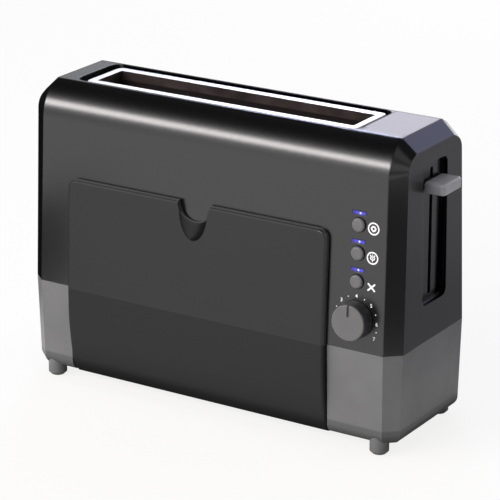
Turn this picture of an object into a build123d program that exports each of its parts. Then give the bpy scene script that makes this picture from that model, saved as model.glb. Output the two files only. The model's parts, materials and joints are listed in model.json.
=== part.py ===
from build123d import *
import math
import os

# Slide-through toaster, millimetres. X runs to the lever end, Y to the back, Z up from the table.

# Outer form
BODY_LENGTH = 380.0
BODY_HEIGHT = 275.0
JUNCTION_Z = 92.3
JUNCTION_HALF_DEPTH = 63.7
FRONT_DRAFT = 0.046
END_DRAFT = 0.011
CHAMFER_LENGTH = 13.2
SHOULDER_DROP = 11.7
SHOULDER_RADIUS = 34.0
SHOULDER_FACET_DEPTH = 21.6
TOP_EDGE_RADIUS = 5.0
END_SETBACK = 11.7
END_TOP_DROP = 12.0
END_SHOULDER_DROP = 18.5
END_SHOULDER_SETBACK = 9.9
END_SHOULDER_RADIUS = 13.0
END_FLAT_SETBACK = 1.5
WALL = 3.0

# Bread slot
SLOT_LEFT_MARGIN = 47.3
SLOT_RIGHT_MARGIN = 70.1
SLOT_WIDTH = 38.0
TRIM_RIM_X = 7.7
TRIM_RIM_Y = 9.0
TRIM_CORNER = 7.0
TRIM_EDGE = 0.6
TRIM_TOP_DROP = 1.8
TRIM_SKIRT_WALL = 1.2
TRIM_SKIRT_DEPTH = 12.0
WELL_LEFT_MARGIN = 15.0
WELL_RIGHT_MARGIN = 11.6
WELL_MARGIN_Y = 12.6
WELL_CORNER = 9.0
WELL_DEPTH = 7.0
WELL_FLOOR = 2.5
SEAT_GAP = 0.3

# Base and feet
BASE_BOTTOM_Z = 9.7
BASE_TAPER = 1.432
BASE_EDGE_RADIUS = 10.0
FLOOR = 3.0
FOOT_RADIUS = 8.4
FOOT_EDGE = 2.5
FOOT_INSET_X = 21.0
FOOT_INSET_Y = 10.8
FOOT_TOP_Z = 24.0
FOOT_CUP_WALL = 3.0
FOOT_CLEARANCE = 0.1
CRUMB_INSET = 31.3
CRUMB_OPENING_WIDTH = 60.0
CRUMB_PLATE_LAP = 10.0
SHEET = 1.2
SCREW_RADIUS = 1.5
SCREW_CLEARANCE = 0.1
SCREW_HEAD_RADIUS = 3.2
SCREW_HEAD_HEIGHT = 1.8
GLAND_INSET = 50.0
GLAND_Z = 36.0
GLAND_RADIUS = 7.0
GLAND_FLANGE_RADIUS = 10.0
GLAND_FLANGE_PROUD = 2.5
GLAND_BORE_RADIUS = 3.7
GLAND_LENGTH = 12.0
GLAND_CLEARANCE = 0.1

# Serving tray
TRAY_LAP = 1.85
TRAY_TOP_DROP = 81.0
TRAY_CORNER = 9.0
TRAY_EDGE = 3.0
TRAY_SKIN = 2.5
TRAY_PROUD = 5.5
TRAY_GAP = 0.5
TRAY_SIDE_GAP = 0.8
TRAY_BEND_DROP = 16.3
TRAY_BEND_OUT = 0.2
TRAY_BELLY_IN = 1.0
TRAY_KNEE_OUT = 10.6
TRAY_KNEE_RISE = 11.0
TRAY_HEEL_OUT = 7.6
TRAY_HEEL_RISE = 0.6
TRAY_TOE_OUT = 2.5
TRAY_TOE_RADIUS = 7.4
TRAY_TOE_TURN_ANGLE = -35.0
TRAY_TOE_RISE_ANGLE = 30.0
TRAY_RIM_DROP = 8.3
TRAY_RIM_OUT = 3.0
TRAY_SEAT_RISE = 5.0
TRAY_HINGE_INSET = 9.7
TRAY_HINGE_RISE = 7.3
TRAY_FLOOR_GAP = 9.0
CHEEK_THICKNESS = 3.0
HINGE_PIN_RADIUS = 2.5
RUNNING_CLEARANCE = 0.05
PIN_FIT = 0.02
NOTCH_RADIUS = 16.0
NOTCH_DEPTH = 17.0
SCOOP_DROP = 34.0
SCOOP_HALF_WIDTH = 14.5
SCOOP_DEPTH = 4.6
SCOOP_HEIGHT = 28.0
LINER_SHEET = 0.8
LINER_MARGIN = 4.0
EXIT_RISE = 18.0

# Chassis, heaters and chute
PLATE_GAP = 7.2
PLATE_SETBACK = 19.7
PLATE_TOP_DROP = 15.0
PLATE_FLANGE = 12.0
PLATE_BOSS_HEIGHT = 5.3
PLATE_BOSS_Y = 25.0
REFLECTOR_GAP = 6.0
REFLECTOR_SHEET = 0.8
REFLECTOR_LIP = 4.0
HEATER_GAP = 10.5
HEATER_BOARD = 0.8
HEATER_RISE = 6.0
HEATER_TOP_DROP = 20.0
RIBBON_WIDTH = 2.4
RIBBON_THICKNESS = 0.3
RIBBON_RUNS = 20
RIBBON_MARGIN = 12.0
GUIDE_GAP = 1.5
GUIDE_WIRE_RADIUS = 1.0
GUIDE_RAIL_RADIUS = 1.25
GUIDE_WIRES = 9
GUIDE_WIRE_SIDES = 8
GUIDE_RISE = 8.0
CHUTE_SHEET = 1.0
CHUTE_BACK_GAP = 1.0
CHUTE_RISE = 2.0
CHUTE_BEND_DROP = 8.3
CHUTE_BEND_RADIUS = 40.0
CHUTE_LIP_RISE = 11.3
CHUTE_LIP_GAP = 2.0

# Bread gate
GATE_INSET = 1.0
GATE_RISE = 39.7
GATE_REACH = 36.0
GATE_SHEET = 1.2
GATE_SIDE_GAP = 3.5
GATE_WINDOWS = 7
GATE_FRAME = 7.2
GATE_SHAFT_RADIUS = 2.5
GATE_KNUCKLE_WALL = 1.2
CRANK_RADIUS = 12.0
CRANK_PIN_RADIUS = 2.0
CRANK_HUB_RADIUS = 5.0
CRANK_ARM_WIDTH = 6.0
CRANK_EYE_RADIUS = 3.0
CRANK_THICKNESS = 2.0
CRANK_GAP = 0.5
CRANK_REST_ANGLE = 135.0
GATE_CLOSED_ANGLE = 90.0

# Lever and its track
LEVER_DROP = 45.85
LEVER_LOW_RISE = 44.85
LEVER_LIFT = 8.0
LEVER_KNOB_WIDTH = 32.0
LEVER_KNOB_HEIGHT = 9.7
LEVER_KNOB_REACH = 17.0
LEVER_KNOB_SINK = 1.7
LEVER_KNOB_CORNER = 4.0
LEVER_KNOB_EDGE = 2.0
LEVER_ARM_THICKNESS = 3.0
LEVER_ARM_HEIGHT = 8.0
LEVER_ARM_INSET = 40.0
TRACK_DEPTH = 4.0
TRACK_HALF_WIDTH = 21.0
TRACK_COVE = 3.4
TRACK_CORNER = 7.0
TRACK_END_GAP = 7.4
TRACK_SLOT_WIDTH = 4.9
TRACK_SLOT_CORNER = 2.0
TRACK_SLOT_END = 2.0
ROD_REACH = 11.7
ROD_RADIUS = 3.0
CARRIAGE_BOSS_RADIUS = 6.0
CARRIAGE_BOTTOM_DROP = 21.0
CARRIAGE_TOP_RISE = 7.0
CARRIAGE_ARM_WIDTH = 8.0
CARRIAGE_LAP = 3.0
CAM_SHEET = 1.5
CAM_MARGIN = 6.0
CAM_SLOT_CLEARANCE = 0.3
CAM_STEPS = 8
LATCH_REACH = 22.0
LATCH_SIZE = 14.0
LATCH_THICKNESS = 2.0
LATCH_REST_GAP = 0.3
UPPER_BRACKET_DROP = 21.0
LOWER_BRACKET_RISE = 3.7
BRACKET_SHEET = 2.0
BRACKET_TAB = 14.0
BRACKET_HALF_WIDTH = 12.0
BRACKET_CAM_GAP = 1.0
BRACKET_TAB_GAP = 2.0
MAGNET_COIL_WALL = 3.0
MAGNET_COIL_HEIGHT = 16.0
SPRING_REACH = 10.0
SPRING_Y = -12.0
SPRING_RADIUS = 3.6
SPRING_WIRE_RADIUS = 0.7
SPRING_WIRE_SIDES = 4
SPRING_TURNS = 8
SPRING_EAR_RADIUS = 5.5
SPRING_EAR_THICKNESS = 3.0

# Controls
CONTROL_INSET = 40.5
BUTTON_RISE = 33.0
BUTTON_PITCH = 24.6
BUTTON_RADIUS = 6.15
BUTTON_PROUD = 3.0
BUTTON_EDGE = 2.2
BUTTON_TRAVEL = 1.5
BUTTON_CLEARANCE = 0.25
BUTTON_FLANGE_RADIUS = 7.6
BUTTON_FLANGE = 1.2
BUTTON_STEM_RADIUS = 2.0
LIGHT_RISE = 10.3
LIGHT_LENGTH = 12.8
LIGHT_HEIGHT = 3.4
LIGHT_DEPTH = 6.0
LIGHT_CLEARANCE = 0.1
DIAL_RISE = 28.0
DIAL_FACE_RADIUS = 15.5
DIAL_SKIRT_RADIUS = 16.5
DIAL_PROUD = 14.0
DIAL_GAP = 0.6
DIAL_EDGE = 1.0
DIAL_SHAFT_RADIUS = 3.0
DIAL_POINTER_WIDTH = 1.5
DIAL_POINTER_DEPTH = 0.6
DIAL_POINTER_INNER = 6.5
POT_RADIUS = 8.5
POT_BUSH_RADIUS = 4.5
POT_WALL_GAP = 1.0
BOARD_DEPTH = 14.0
BOARD_SHEET = 1.6
BOARD_MARGIN = 14.0
BOARD_HALF_WIDTH = 16.0
SWITCH_SIZE = 6.0
SWITCH_HEIGHT = 2.4
POST_RADIUS = 2.5
POST_INSET = 3.0
POWER_BOARD_SETBACK = 19.7
POWER_BOARD_INSET = 16.0
POWER_BOARD_WIDTH = 38.0
POWER_BOARD_RISE = 11.7
POWER_BOARD_HEIGHT = 80.0
RELAY_SIZE = (24.0, 20.0, 28.0)
TRANSFORMER_SIZE = (16.0, 15.0, 22.0)
CAPACITOR_RADIUS = 5.0
CAPACITOR_LENGTH = 16.0
BOARD_PART_GAP = 6.0

# Places worked out from the values above
END_X = BODY_LENGTH / 2
CREASE_X = END_X - CHAMFER_LENGTH
SHOULDER_Z = BODY_HEIGHT - SHOULDER_DROP
SHOULDER_HALF_DEPTH = JUNCTION_HALF_DEPTH - FRONT_DRAFT * (SHOULDER_Z - JUNCTION_Z)
FLAT_TOP_HALF_DEPTH = SHOULDER_HALF_DEPTH - SHOULDER_FACET_DEPTH
END_HALF_DEPTH = JUNCTION_HALF_DEPTH - END_SETBACK
END_SHOULDER_HALF_DEPTH = SHOULDER_HALF_DEPTH - END_SHOULDER_SETBACK
END_FLAT_HALF_DEPTH = FLAT_TOP_HALF_DEPTH - END_FLAT_SETBACK
SLOT_X = (SLOT_LEFT_MARGIN - END_X, END_X - SLOT_RIGHT_MARGIN)
SLOT_LENGTH = SLOT_X[1] - SLOT_X[0]
SLOT_CENTRE_X = sum(SLOT_X) / 2
WELL_X = (SLOT_X[0] - WELL_LEFT_MARGIN, SLOT_X[1] + WELL_RIGHT_MARGIN)
WELL_LENGTH = WELL_X[1] - WELL_X[0]
WELL_WIDTH = SLOT_WIDTH + 2 * WELL_MARGIN_Y
FOOT_X = END_X - FOOT_INSET_X
FOOT_Y = JUNCTION_HALF_DEPTH - FOOT_INSET_Y
CRUMB_OPENING_LENGTH = SLOT_LENGTH - 2 * CRUMB_INSET
GLAND_X = END_X - GLAND_INSET
TRAY_X = (SLOT_X[0] - TRAY_LAP, SLOT_X[1] + TRAY_LAP)
TRAY_LENGTH = TRAY_X[1] - TRAY_X[0]
TRAY_TOP_Z = BODY_HEIGHT - TRAY_TOP_DROP
TRAY_BEND_Z = JUNCTION_Z - TRAY_BEND_DROP
TRAY_RIM_Z = JUNCTION_Z - TRAY_RIM_DROP
TRAY_HINGE_Y = TRAY_HINGE_INSET - JUNCTION_HALF_DEPTH
TRAY_HINGE_Z = BASE_BOTTOM_Z + TRAY_HINGE_RISE
FLOOR_FRONT_Y = TRAY_HINGE_Y + TRAY_FLOOR_GAP
NOTCH_BOTTOM_Z = TRAY_TOP_Z - NOTCH_DEPTH
SCOOP_BOTTOM_Z = TRAY_TOP_Z - SCOOP_DROP
PLATE_X = (SLOT_X[0] - PLATE_GAP, SLOT_X[1] + PLATE_GAP)
PLATE_TOP_Z = BODY_HEIGHT - PLATE_TOP_DROP
PLATE_HALF_DEPTH = JUNCTION_HALF_DEPTH - PLATE_SETBACK
GUIDE_Y = SLOT_WIDTH / 2 + GUIDE_GAP
HEATER_Y = GUIDE_Y + HEATER_GAP
REFLECTOR_Y = HEATER_Y + REFLECTOR_GAP
CHUTE_BACK_Y = HEATER_Y + CHUTE_BACK_GAP
GATE_Y = SLOT_WIDTH / 2 - GATE_INSET
POWER_BOARD_Y = JUNCTION_HALF_DEPTH - POWER_BOARD_SETBACK
GATE_Z = JUNCTION_Z + GATE_RISE
EXIT_TOP_Z = GATE_Z + EXIT_RISE
HEATER_BOTTOM_Z = GATE_Z + HEATER_RISE
HEATER_TOP_Z = BODY_HEIGHT - HEATER_TOP_DROP
GUIDE_BOTTOM_Z = GATE_Z + GUIDE_RISE
FLOOR_TOP_Z = BASE_BOTTOM_Z + FLOOR
CHUTE_TOP_Z = GATE_Z + CHUTE_RISE
CHUTE_BEND_Z = JUNCTION_Z - CHUTE_BEND_DROP
CHUTE_LIP_Z = FLOOR_TOP_Z + CHUTE_LIP_RISE
WELL_SEAT_Z = BODY_HEIGHT - WELL_DEPTH
PLATE_FOOT_Z = FLOOR_TOP_Z + PLATE_BOSS_HEIGHT
JAMB_X = (TRAY_X[0] - TRAY_SIDE_GAP, TRAY_X[1] + TRAY_SIDE_GAP)
CAM_X = PLATE_X[1] + SHEET + CRANK_GAP + CRANK_THICKNESS + CRANK_GAP
ROD_X = PLATE_X[1] + SHEET + ROD_REACH
SPRING_X = ROD_X + SPRING_REACH
LATCH_X = ROD_X + LATCH_REACH
CARRIAGE_END_X = LATCH_X + LATCH_SIZE / 2 + CARRIAGE_LAP
LEVER_Z = BODY_HEIGHT - LEVER_DROP
LEVER_DOWN = LEVER_Z - JUNCTION_Z - LEVER_LOW_RISE
UPPER_BRACKET_Z = BODY_HEIGHT - UPPER_BRACKET_DROP
LOWER_BRACKET_Z = JUNCTION_Z + LOWER_BRACKET_RISE
CARRIAGE_BOTTOM_Z = LEVER_Z - CARRIAGE_BOTTOM_DROP
CARRIAGE_TOP_Z = LEVER_Z + CARRIAGE_TOP_RISE
CARRIAGE_ARM_Z = LEVER_Z - LEVER_ARM_HEIGHT / 2 - LATCH_THICKNESS
LATCH_BOTTOM_Z = CARRIAGE_ARM_Z - LATCH_THICKNESS
MAGNET_TOP_Z = LATCH_BOTTOM_Z - LEVER_DOWN - LATCH_REST_GAP
TRACK_FLOOR_X = END_X - END_DRAFT * (LEVER_Z - JUNCTION_Z) - TRACK_DEPTH
GATE_RATE = math.radians(GATE_CLOSED_ANGLE) / LEVER_DOWN
CONTROL_X = END_X - CONTROL_INSET
DIAL_Z = JUNCTION_Z + DIAL_RISE
BUTTON_Z = {
    "upper_button": DIAL_Z + BUTTON_RISE + 2 * BUTTON_PITCH,
    "middle_button": DIAL_Z + BUTTON_RISE + BUTTON_PITCH,
    "lower_button": DIAL_Z + BUTTON_RISE,
}
POWER_BOARD_X = (END_X - POWER_BOARD_INSET - POWER_BOARD_WIDTH, END_X - POWER_BOARD_INSET)
POWER_BOARD_LOW_Z = JUNCTION_Z + POWER_BOARD_RISE
POWER_BOARD_Z = (POWER_BOARD_LOW_Z, POWER_BOARD_LOW_Z + POWER_BOARD_HEIGHT)

# The origin is the middle of the whole part's footprint: the lever, the dial and the gland reach furthest.
KNOB_END_X = END_X - END_DRAFT * (LEVER_Z - JUNCTION_Z) + LEVER_KNOB_REACH
DIAL_FRONT_Y = -JUNCTION_HALF_DEPTH + FRONT_DRAFT * (DIAL_Z - JUNCTION_Z) - DIAL_PROUD
GLAND_BACK_Y = JUNCTION_HALF_DEPTH + GLAND_FLANGE_PROUD
TO_ORIGIN = Pos((END_X - KNOB_END_X) / 2, -(DIAL_FRONT_Y + GLAND_BACK_Y) / 2, 0)

FRONT = Plane(
    origin=(0, -JUNCTION_HALF_DEPTH - FRONT_DRAFT * JUNCTION_Z, 0),
    x_dir=(1, 0, 0),
    z_dir=(0, -1, FRONT_DRAFT),
)
FRONT_STRETCH = math.hypot(1.0, FRONT_DRAFT)
END_STRETCH = math.hypot(1.0, END_DRAFT)

os.makedirs("parts", exist_ok=True)


def write(name, shape):
    """Move a finished piece to the part's origin and write it."""
    export_step(TO_ORIGIN * shape, f"parts/{name}.step")


def span(x, y, z):
    """Box between pairs of faces."""
    centre = Pos(sum(x) / 2, sum(y) / 2, sum(z) / 2)
    return centre * Box(x[1] - x[0], y[1] - y[0], z[1] - z[0])


def upright(x, y, z, radius):
    """Cylinder along Z between two heights."""
    return Pos(x, y, sum(z) / 2) * Cylinder(radius, z[1] - z[0])


def across(x, y, z, radius):
    """Cylinder along X between two places."""
    return Pos(sum(x) / 2, y, z) * Rot(0, 90, 0) * Cylinder(radius, x[1] - x[0])


def deep(x, y, z, radius):
    """Cylinder along Y between two places."""
    return Pos(x, sum(y) / 2, z) * Rot(90, 0, 0) * Cylinder(radius, y[1] - y[0])


def plate(z, centre, size, corner=0.0):
    """Flat plate between two heights, with rounded corners in plan."""
    outline = RectangleRounded(*size, corner) if corner else Rectangle(*size)
    return extrude(Pos(centre[0], centre[1], z[0]) * outline, z[1] - z[0])


def on_front(x, z, depth=0.0):
    """Place on the sloped front face, with its own Z pointing out of the body."""
    return FRONT * Pos(x, z * FRONT_STRETCH, depth)


def front_rod(x, z, depths, radius):
    """Cylinder square to the front face, between two depths."""
    return on_front(x, z, sum(depths) / 2) * Cylinder(radius, depths[1] - depths[0])


def front_box(x, z, size, depths):
    """Box square to the front face, between two depths."""
    return on_front(x, z, sum(depths) / 2) * Box(size[0], size[1], depths[1] - depths[0])


def house(foot_half_depth, shoulder, flat, radius, foot_z):
    """Section across the body: leaning sides, rounded shoulders, sloped facets and a flat top."""
    lean = (foot_half_depth - shoulder[0]) / (shoulder[1] - JUNCTION_Z)
    low_half_depth = foot_half_depth + lean * (JUNCTION_Z - foot_z)
    half = [(low_half_depth, foot_z), shoulder, flat]
    outline = Polygon(*half, *[(-y, z) for y, z in reversed(half)], align=None)
    rounded = fillet(outline.vertices().group_by(Axis.Y)[1], radius)
    return fillet(rounded.vertices().group_by(Axis.Y)[-1], TOP_EDGE_RADIUS)


def wrap_section(foot_z=JUNCTION_Z):
    shoulder = (SHOULDER_HALF_DEPTH, SHOULDER_Z)
    flat = (FLAT_TOP_HALF_DEPTH, BODY_HEIGHT)
    return house(JUNCTION_HALF_DEPTH, shoulder, flat, SHOULDER_RADIUS, foot_z)


def end_section(foot_z=JUNCTION_Z):
    shoulder = (END_SHOULDER_HALF_DEPTH, BODY_HEIGHT - END_SHOULDER_DROP)
    flat = (END_FLAT_HALF_DEPTH, BODY_HEIGHT - END_TOP_DROP)
    return house(END_HALF_DEPTH, shoulder, flat, END_SHOULDER_RADIUS, foot_z)


def end_plane(x):
    """Plane across the body that leans in with the end draft, at x on the junction height."""
    return Plane(origin=(x + END_DRAFT * JUNCTION_Z, 0, 0), x_dir=(0, 1, 0), z_dir=(1, 0, END_DRAFT))


def inner(section):
    return offset(section, -WALL, kind=Kind.INTERSECTION)


def board_posts():
    """Control board posts on the front wall and power board posts on the back wall."""
    depths = (-BOARD_DEPTH, -WALL / 2)
    half_pitch = BOARD_HALF_WIDTH - POST_INSET
    for x in (CONTROL_X - half_pitch, CONTROL_X + half_pitch):
        for z in control_board_heights(POST_INSET):
            yield front_rod(x, z, depths, POST_RADIUS)
    back = POWER_BOARD_Y + BOARD_SHEET
    for x in (POWER_BOARD_X[0] + POST_INSET, POWER_BOARD_X[1] - POST_INSET):
        for z in (POWER_BOARD_Z[0] + POST_INSET, POWER_BOARD_Z[1] - POST_INSET):
            yield deep(x, (back, JUNCTION_HALF_DEPTH), z, POST_RADIUS)


def control_board_heights(inset=0.0):
    return (DIAL_Z - BOARD_MARGIN + inset, BUTTON_Z["upper_button"] + BOARD_MARGIN - inset)


def control_cuts():
    """Holes in the front wall for the buttons, the light bars and the dial bush."""
    through = (-2 * WALL, WALL)
    for z in BUTTON_Z.values():
        yield front_rod(CONTROL_X, z, through, BUTTON_RADIUS + BUTTON_CLEARANCE)
        window = (LIGHT_LENGTH + 2 * LIGHT_CLEARANCE, LIGHT_HEIGHT + 2 * LIGHT_CLEARANCE)
        yield front_box(CONTROL_X, z + LIGHT_RISE, window, through)
    yield front_rod(CONTROL_X, DIAL_Z, through, POT_BUSH_RADIUS + SEAT_GAP)


def body_wrap():
    """Front, shoulders, top and back in one shell, with the sunk well of the bread slot."""
    solid = extrude(Plane.YZ * wrap_section(), BODY_LENGTH, both=True)
    hollow = extrude(Plane.YZ * inner(wrap_section(JUNCTION_Z - 4 * WALL)), BODY_LENGTH, both=True)
    well_z = (WELL_SEAT_Z - WELL_FLOOR, BODY_HEIGHT)
    centre = (SLOT_CENTRE_X, 0)
    middle = (sum(WELL_X) / 2, 0)
    well = plate(well_z, middle, (WELL_LENGTH + 2 * WALL, WELL_WIDTH + 2 * WALL), WELL_CORNER + WALL)
    shell = solid - hollow + (well & solid)
    shell += [post & solid for post in board_posts()]
    shell -= plate((WELL_SEAT_Z, BODY_HEIGHT + WALL), middle, (WELL_LENGTH, WELL_WIDTH), WELL_CORNER)
    mouth = [size + 2 * (TRIM_SKIRT_WALL + SEAT_GAP) for size in (SLOT_LENGTH, SLOT_WIDTH)]
    shell -= plate((WELL_SEAT_Z - 2 * WELL_FLOOR, BODY_HEIGHT), centre, mouth)
    shell -= span(SLOT_X, (-BODY_HEIGHT, FLOOR_FRONT_Y), (0, EXIT_TOP_Z))
    shell -= list(control_cuts())
    for side in (1, -1):
        crease = end_plane(CREASE_X)
        cut = Plane(origin=(side * crease.origin.X, 0, 0), x_dir=(0, 1, 0), z_dir=(side, 0, END_DRAFT))
        shell = split(shell, bisect_by=cut, keep=Keep.BOTTOM)
    return shell


def end_cap():
    """Chamfered end shell on the right, its section drawn in from the body's to the end face's."""
    foot = JUNCTION_Z * END_STRETCH
    solid = loft([end_plane(CREASE_X) * wrap_section(foot), end_plane(END_X) * end_section(foot)], ruled=True)
    low = JUNCTION_Z - 4 * WALL
    hollow = loft(
        [end_plane(CREASE_X) * inner(wrap_section(low)), end_plane(END_X - WALL) * inner(end_section(low))],
        ruled=True,
    )
    return solid, solid - hollow


def lever_track(cap_solid):
    """Wall of the sunk lever track, the coved track itself and the slot for the lever's arm."""
    low = LEVER_Z - LEVER_DOWN - LEVER_KNOB_HEIGHT / 2 - TRACK_END_GAP
    high = LEVER_Z + LEVER_LIFT + LEVER_KNOB_HEIGHT / 2 + TRACK_END_GAP
    outline = Pos(0, (low + high) / 2) * RectangleRounded(2 * TRACK_HALF_WIDTH, high - low, TRACK_CORNER)
    floor_plane = Plane(origin=(TRACK_FLOOR_X, 0, 0), x_dir=(0, 1, 0), z_dir=(1, 0, 0))
    track = extrude(floor_plane * outline, END_X - TRACK_FLOOR_X)
    track = fillet(track.faces().sort_by(Axis.X)[0].edges(), TRACK_COVE)
    wall = span(
        (TRACK_FLOOR_X - WALL, END_X),
        (-TRACK_HALF_WIDTH - WALL, TRACK_HALF_WIDTH + WALL),
        (low - WALL, high + WALL),
    )
    arm_end = LEVER_ARM_HEIGHT / 2 + TRACK_SLOT_END
    slot_z = (LEVER_Z - LEVER_DOWN - arm_end, LEVER_Z + LEVER_LIFT + arm_end)
    slot_y = (-TRACK_SLOT_WIDTH / 2, TRACK_SLOT_WIDTH / 2)
    slot = span((TRACK_FLOOR_X - 2 * WALL, END_X), slot_y, slot_z)
    slot = fillet(slot.edges().filter_by(Axis.X), TRACK_SLOT_CORNER)
    return wall & cap_solid, track, slot


def slot_trim():
    """Metal ring on the well's seat, with a skirt through its mouth."""
    centre = (SLOT_CENTRE_X, 0)
    clear = (SLOT_LENGTH, SLOT_WIDTH)
    rim = (SLOT_LENGTH + 2 * TRIM_RIM_X, SLOT_WIDTH + 2 * TRIM_RIM_Y)
    skirt = [size + 2 * TRIM_SKIRT_WALL for size in clear]
    top = BODY_HEIGHT - TRIM_TOP_DROP
    ring = plate((WELL_SEAT_Z, top), centre, rim, TRIM_CORNER)
    ring = fillet(ring.faces().sort_by(Axis.Z)[-1].edges(), TRIM_EDGE)
    ring += plate((WELL_SEAT_Z - TRIM_SKIRT_DEPTH, WELL_SEAT_Z), centre, skirt)
    return ring - plate((WELL_SEAT_Z - 2 * TRIM_SKIRT_DEPTH, top + WALL), centre, clear)


def base_outline():
    corners = [(END_X, END_HALF_DEPTH), (CREASE_X, JUNCTION_HALF_DEPTH)]
    right = corners + [(-x, y) for x, y in reversed(corners)]
    return Polygon(*right, *[(x, -y) for x, y in reversed(right)], align=None)


def foot_places():
    for front in ("front", "back"):
        for side in ("left", "right"):
            x = FOOT_X if side == "right" else -FOOT_X
            y = -FOOT_Y if front == "front" else FOOT_Y
            yield f"{front}_{side}_foot", x, y


def plate_screw_places():
    for x in (PLATE_X[0] - SHEET - PLATE_FLANGE / 2, PLATE_X[1] + SHEET + PLATE_FLANGE / 2):
        for y in (-PLATE_BOSS_Y, PLATE_BOSS_Y):
            yield x, y


def crumb_screw_places():
    for x in (-1, 1):
        for y in (-1, 1):
            yield (
                SLOT_CENTRE_X + x * (CRUMB_OPENING_LENGTH + CRUMB_PLATE_LAP) / 2,
                y * (CRUMB_OPENING_WIDTH + CRUMB_PLATE_LAP) / 2,
            )


def base_shell():
    """Tapered octagonal base, open in front behind the tray, with hinge cheeks, foot cups and bosses."""
    depth = JUNCTION_Z - BASE_BOTTOM_Z
    top = Pos(0, 0, JUNCTION_Z) * base_outline()
    solid = extrude(top, depth, dir=(0, 0, -1), taper=BASE_TAPER)
    solid = fillet(solid.faces().sort_by(Axis.Z)[0].edges(), BASE_EDGE_RADIUS)
    hollow_top = Pos(0, 0, JUNCTION_Z) * offset(base_outline(), -WALL, kind=Kind.INTERSECTION)
    hollow = extrude(hollow_top, depth - FLOOR, dir=(0, 0, -1), taper=BASE_TAPER)
    for _, x, y in foot_places():
        hollow -= upright(x, y, (0, FOOT_TOP_Z + FOOT_CUP_WALL), FOOT_RADIUS + FOOT_CUP_WALL)
    for x, y in plate_screw_places():
        hollow -= upright(x, y, (0, PLATE_FOOT_Z), 2 * SCREW_HEAD_RADIUS)
    cheek_y = (-BODY_HEIGHT, FLOOR_FRONT_Y)
    for x in ((JAMB_X[0] - CHEEK_THICKNESS, JAMB_X[0]), (JAMB_X[1], JAMB_X[1] + CHEEK_THICKNESS)):
        hollow -= span(x, cheek_y, (0, BODY_HEIGHT))
    shell = solid - hollow
    shell -= span(JAMB_X, (-BODY_HEIGHT, FLOOR_FRONT_Y), (0, BODY_HEIGHT))
    shell -= [upright(x, y, (0, FOOT_TOP_Z), FOOT_RADIUS + FOOT_CLEARANCE) for _, x, y in foot_places()]
    screw_hole = SCREW_RADIUS + SCREW_CLEARANCE
    shell -= [upright(x, y, (FLOOR_TOP_Z, PLATE_FOOT_Z), screw_hole) for x, y in plate_screw_places()]
    crumb = (CRUMB_OPENING_LENGTH, CRUMB_OPENING_WIDTH)
    shell -= plate((0, FLOOR_TOP_Z), (SLOT_CENTRE_X, 0), crumb, CRUMB_PLATE_LAP / 2)
    shell -= [upright(x, y, (0, 2 * FLOOR_TOP_Z), screw_hole) for x, y in crumb_screw_places()]
    hinge_x = (JAMB_X[0] - 2 * CHEEK_THICKNESS, JAMB_X[1] + 2 * CHEEK_THICKNESS)
    shell -= across(hinge_x, TRAY_HINGE_Y, TRAY_HINGE_Z, HINGE_PIN_RADIUS + RUNNING_CLEARANCE)
    gland_y = (JUNCTION_HALF_DEPTH - GLAND_LENGTH, JUNCTION_HALF_DEPTH + WALL)
    return shell - deep(GLAND_X, gland_y, GLAND_Z, GLAND_RADIUS + GLAND_CLEARANCE)


def foot(x, y):
    peg = upright(x, y, (0, FOOT_TOP_Z), FOOT_RADIUS)
    return chamfer(peg.edges().sort_by(Axis.Z)[0], FOOT_EDGE)


def screws(places, head_z, tip_z):
    """Pan-head screws between the seat of the head and the tip; the head lies past the seat."""
    outward = math.copysign(SCREW_HEAD_HEIGHT, head_z - tip_z)
    shanks = sorted((head_z, tip_z))
    heads = sorted((head_z, head_z + outward))
    return [upright(x, y, shanks, SCREW_RADIUS) + upright(x, y, heads, SCREW_HEAD_RADIUS) for x, y in places]


def bottom_plate():
    """Crumb plate under the floor's opening."""
    size = (CRUMB_OPENING_LENGTH + 2 * CRUMB_PLATE_LAP, CRUMB_OPENING_WIDTH + 2 * CRUMB_PLATE_LAP)
    sheet = plate((BASE_BOTTOM_Z - SHEET, BASE_BOTTOM_Z), (SLOT_CENTRE_X, 0), size, CRUMB_PLATE_LAP)
    hole = SCREW_RADIUS + SCREW_CLEARANCE
    holes = [upright(x, y, (0, BODY_HEIGHT), hole) for x, y in crumb_screw_places()]
    return sheet - holes


def cord_gland():
    """Flanged bush through the back of the base."""
    drop = JUNCTION_Z - GLAND_Z - GLAND_FLANGE_RADIUS
    wall_y = JUNCTION_HALF_DEPTH - math.tan(math.radians(BASE_TAPER)) * drop
    back = wall_y + GLAND_FLANGE_PROUD
    bush = deep(GLAND_X, (back - GLAND_LENGTH, back), GLAND_Z, GLAND_RADIUS)
    bush += deep(GLAND_X, (wall_y, back), GLAND_Z, GLAND_FLANGE_RADIUS)
    return bush - deep(GLAND_X, (0, BODY_HEIGHT), GLAND_Z, GLAND_BORE_RADIUS)


def tray_profile():
    """Outer line of the tray from its top edge to its toe, measured from the front face's foot."""
    top_y = front_lean(TRAY_TOP_Z) - TRAY_PROUD
    crease_y = -TRAY_PROUD
    bend = (crease_y - TRAY_BEND_OUT, TRAY_BEND_Z)
    knee = (TRAY_HINGE_INSET - TRAY_KNEE_OUT, TRAY_HINGE_Z + TRAY_KNEE_RISE)
    belly = (crease_y + TRAY_BELLY_IN, (TRAY_BEND_Z + knee[1]) / 2)
    toe_drop = math.sqrt(TRAY_TOE_RADIUS ** 2 - TRAY_TOE_OUT ** 2)
    toe = (TRAY_HINGE_INSET - TRAY_TOE_OUT, TRAY_HINGE_Z - toe_drop)
    heel = (TRAY_HINGE_INSET - TRAY_HEEL_OUT, TRAY_HINGE_Z + TRAY_HEEL_RISE)
    return [
        Line((top_y, TRAY_TOP_Z), (crease_y, JUNCTION_Z)),
        Line((crease_y, JUNCTION_Z), bend),
        ThreePointArc(bend, belly, knee),
        ThreePointArc(knee, heel, toe),
    ]


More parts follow.
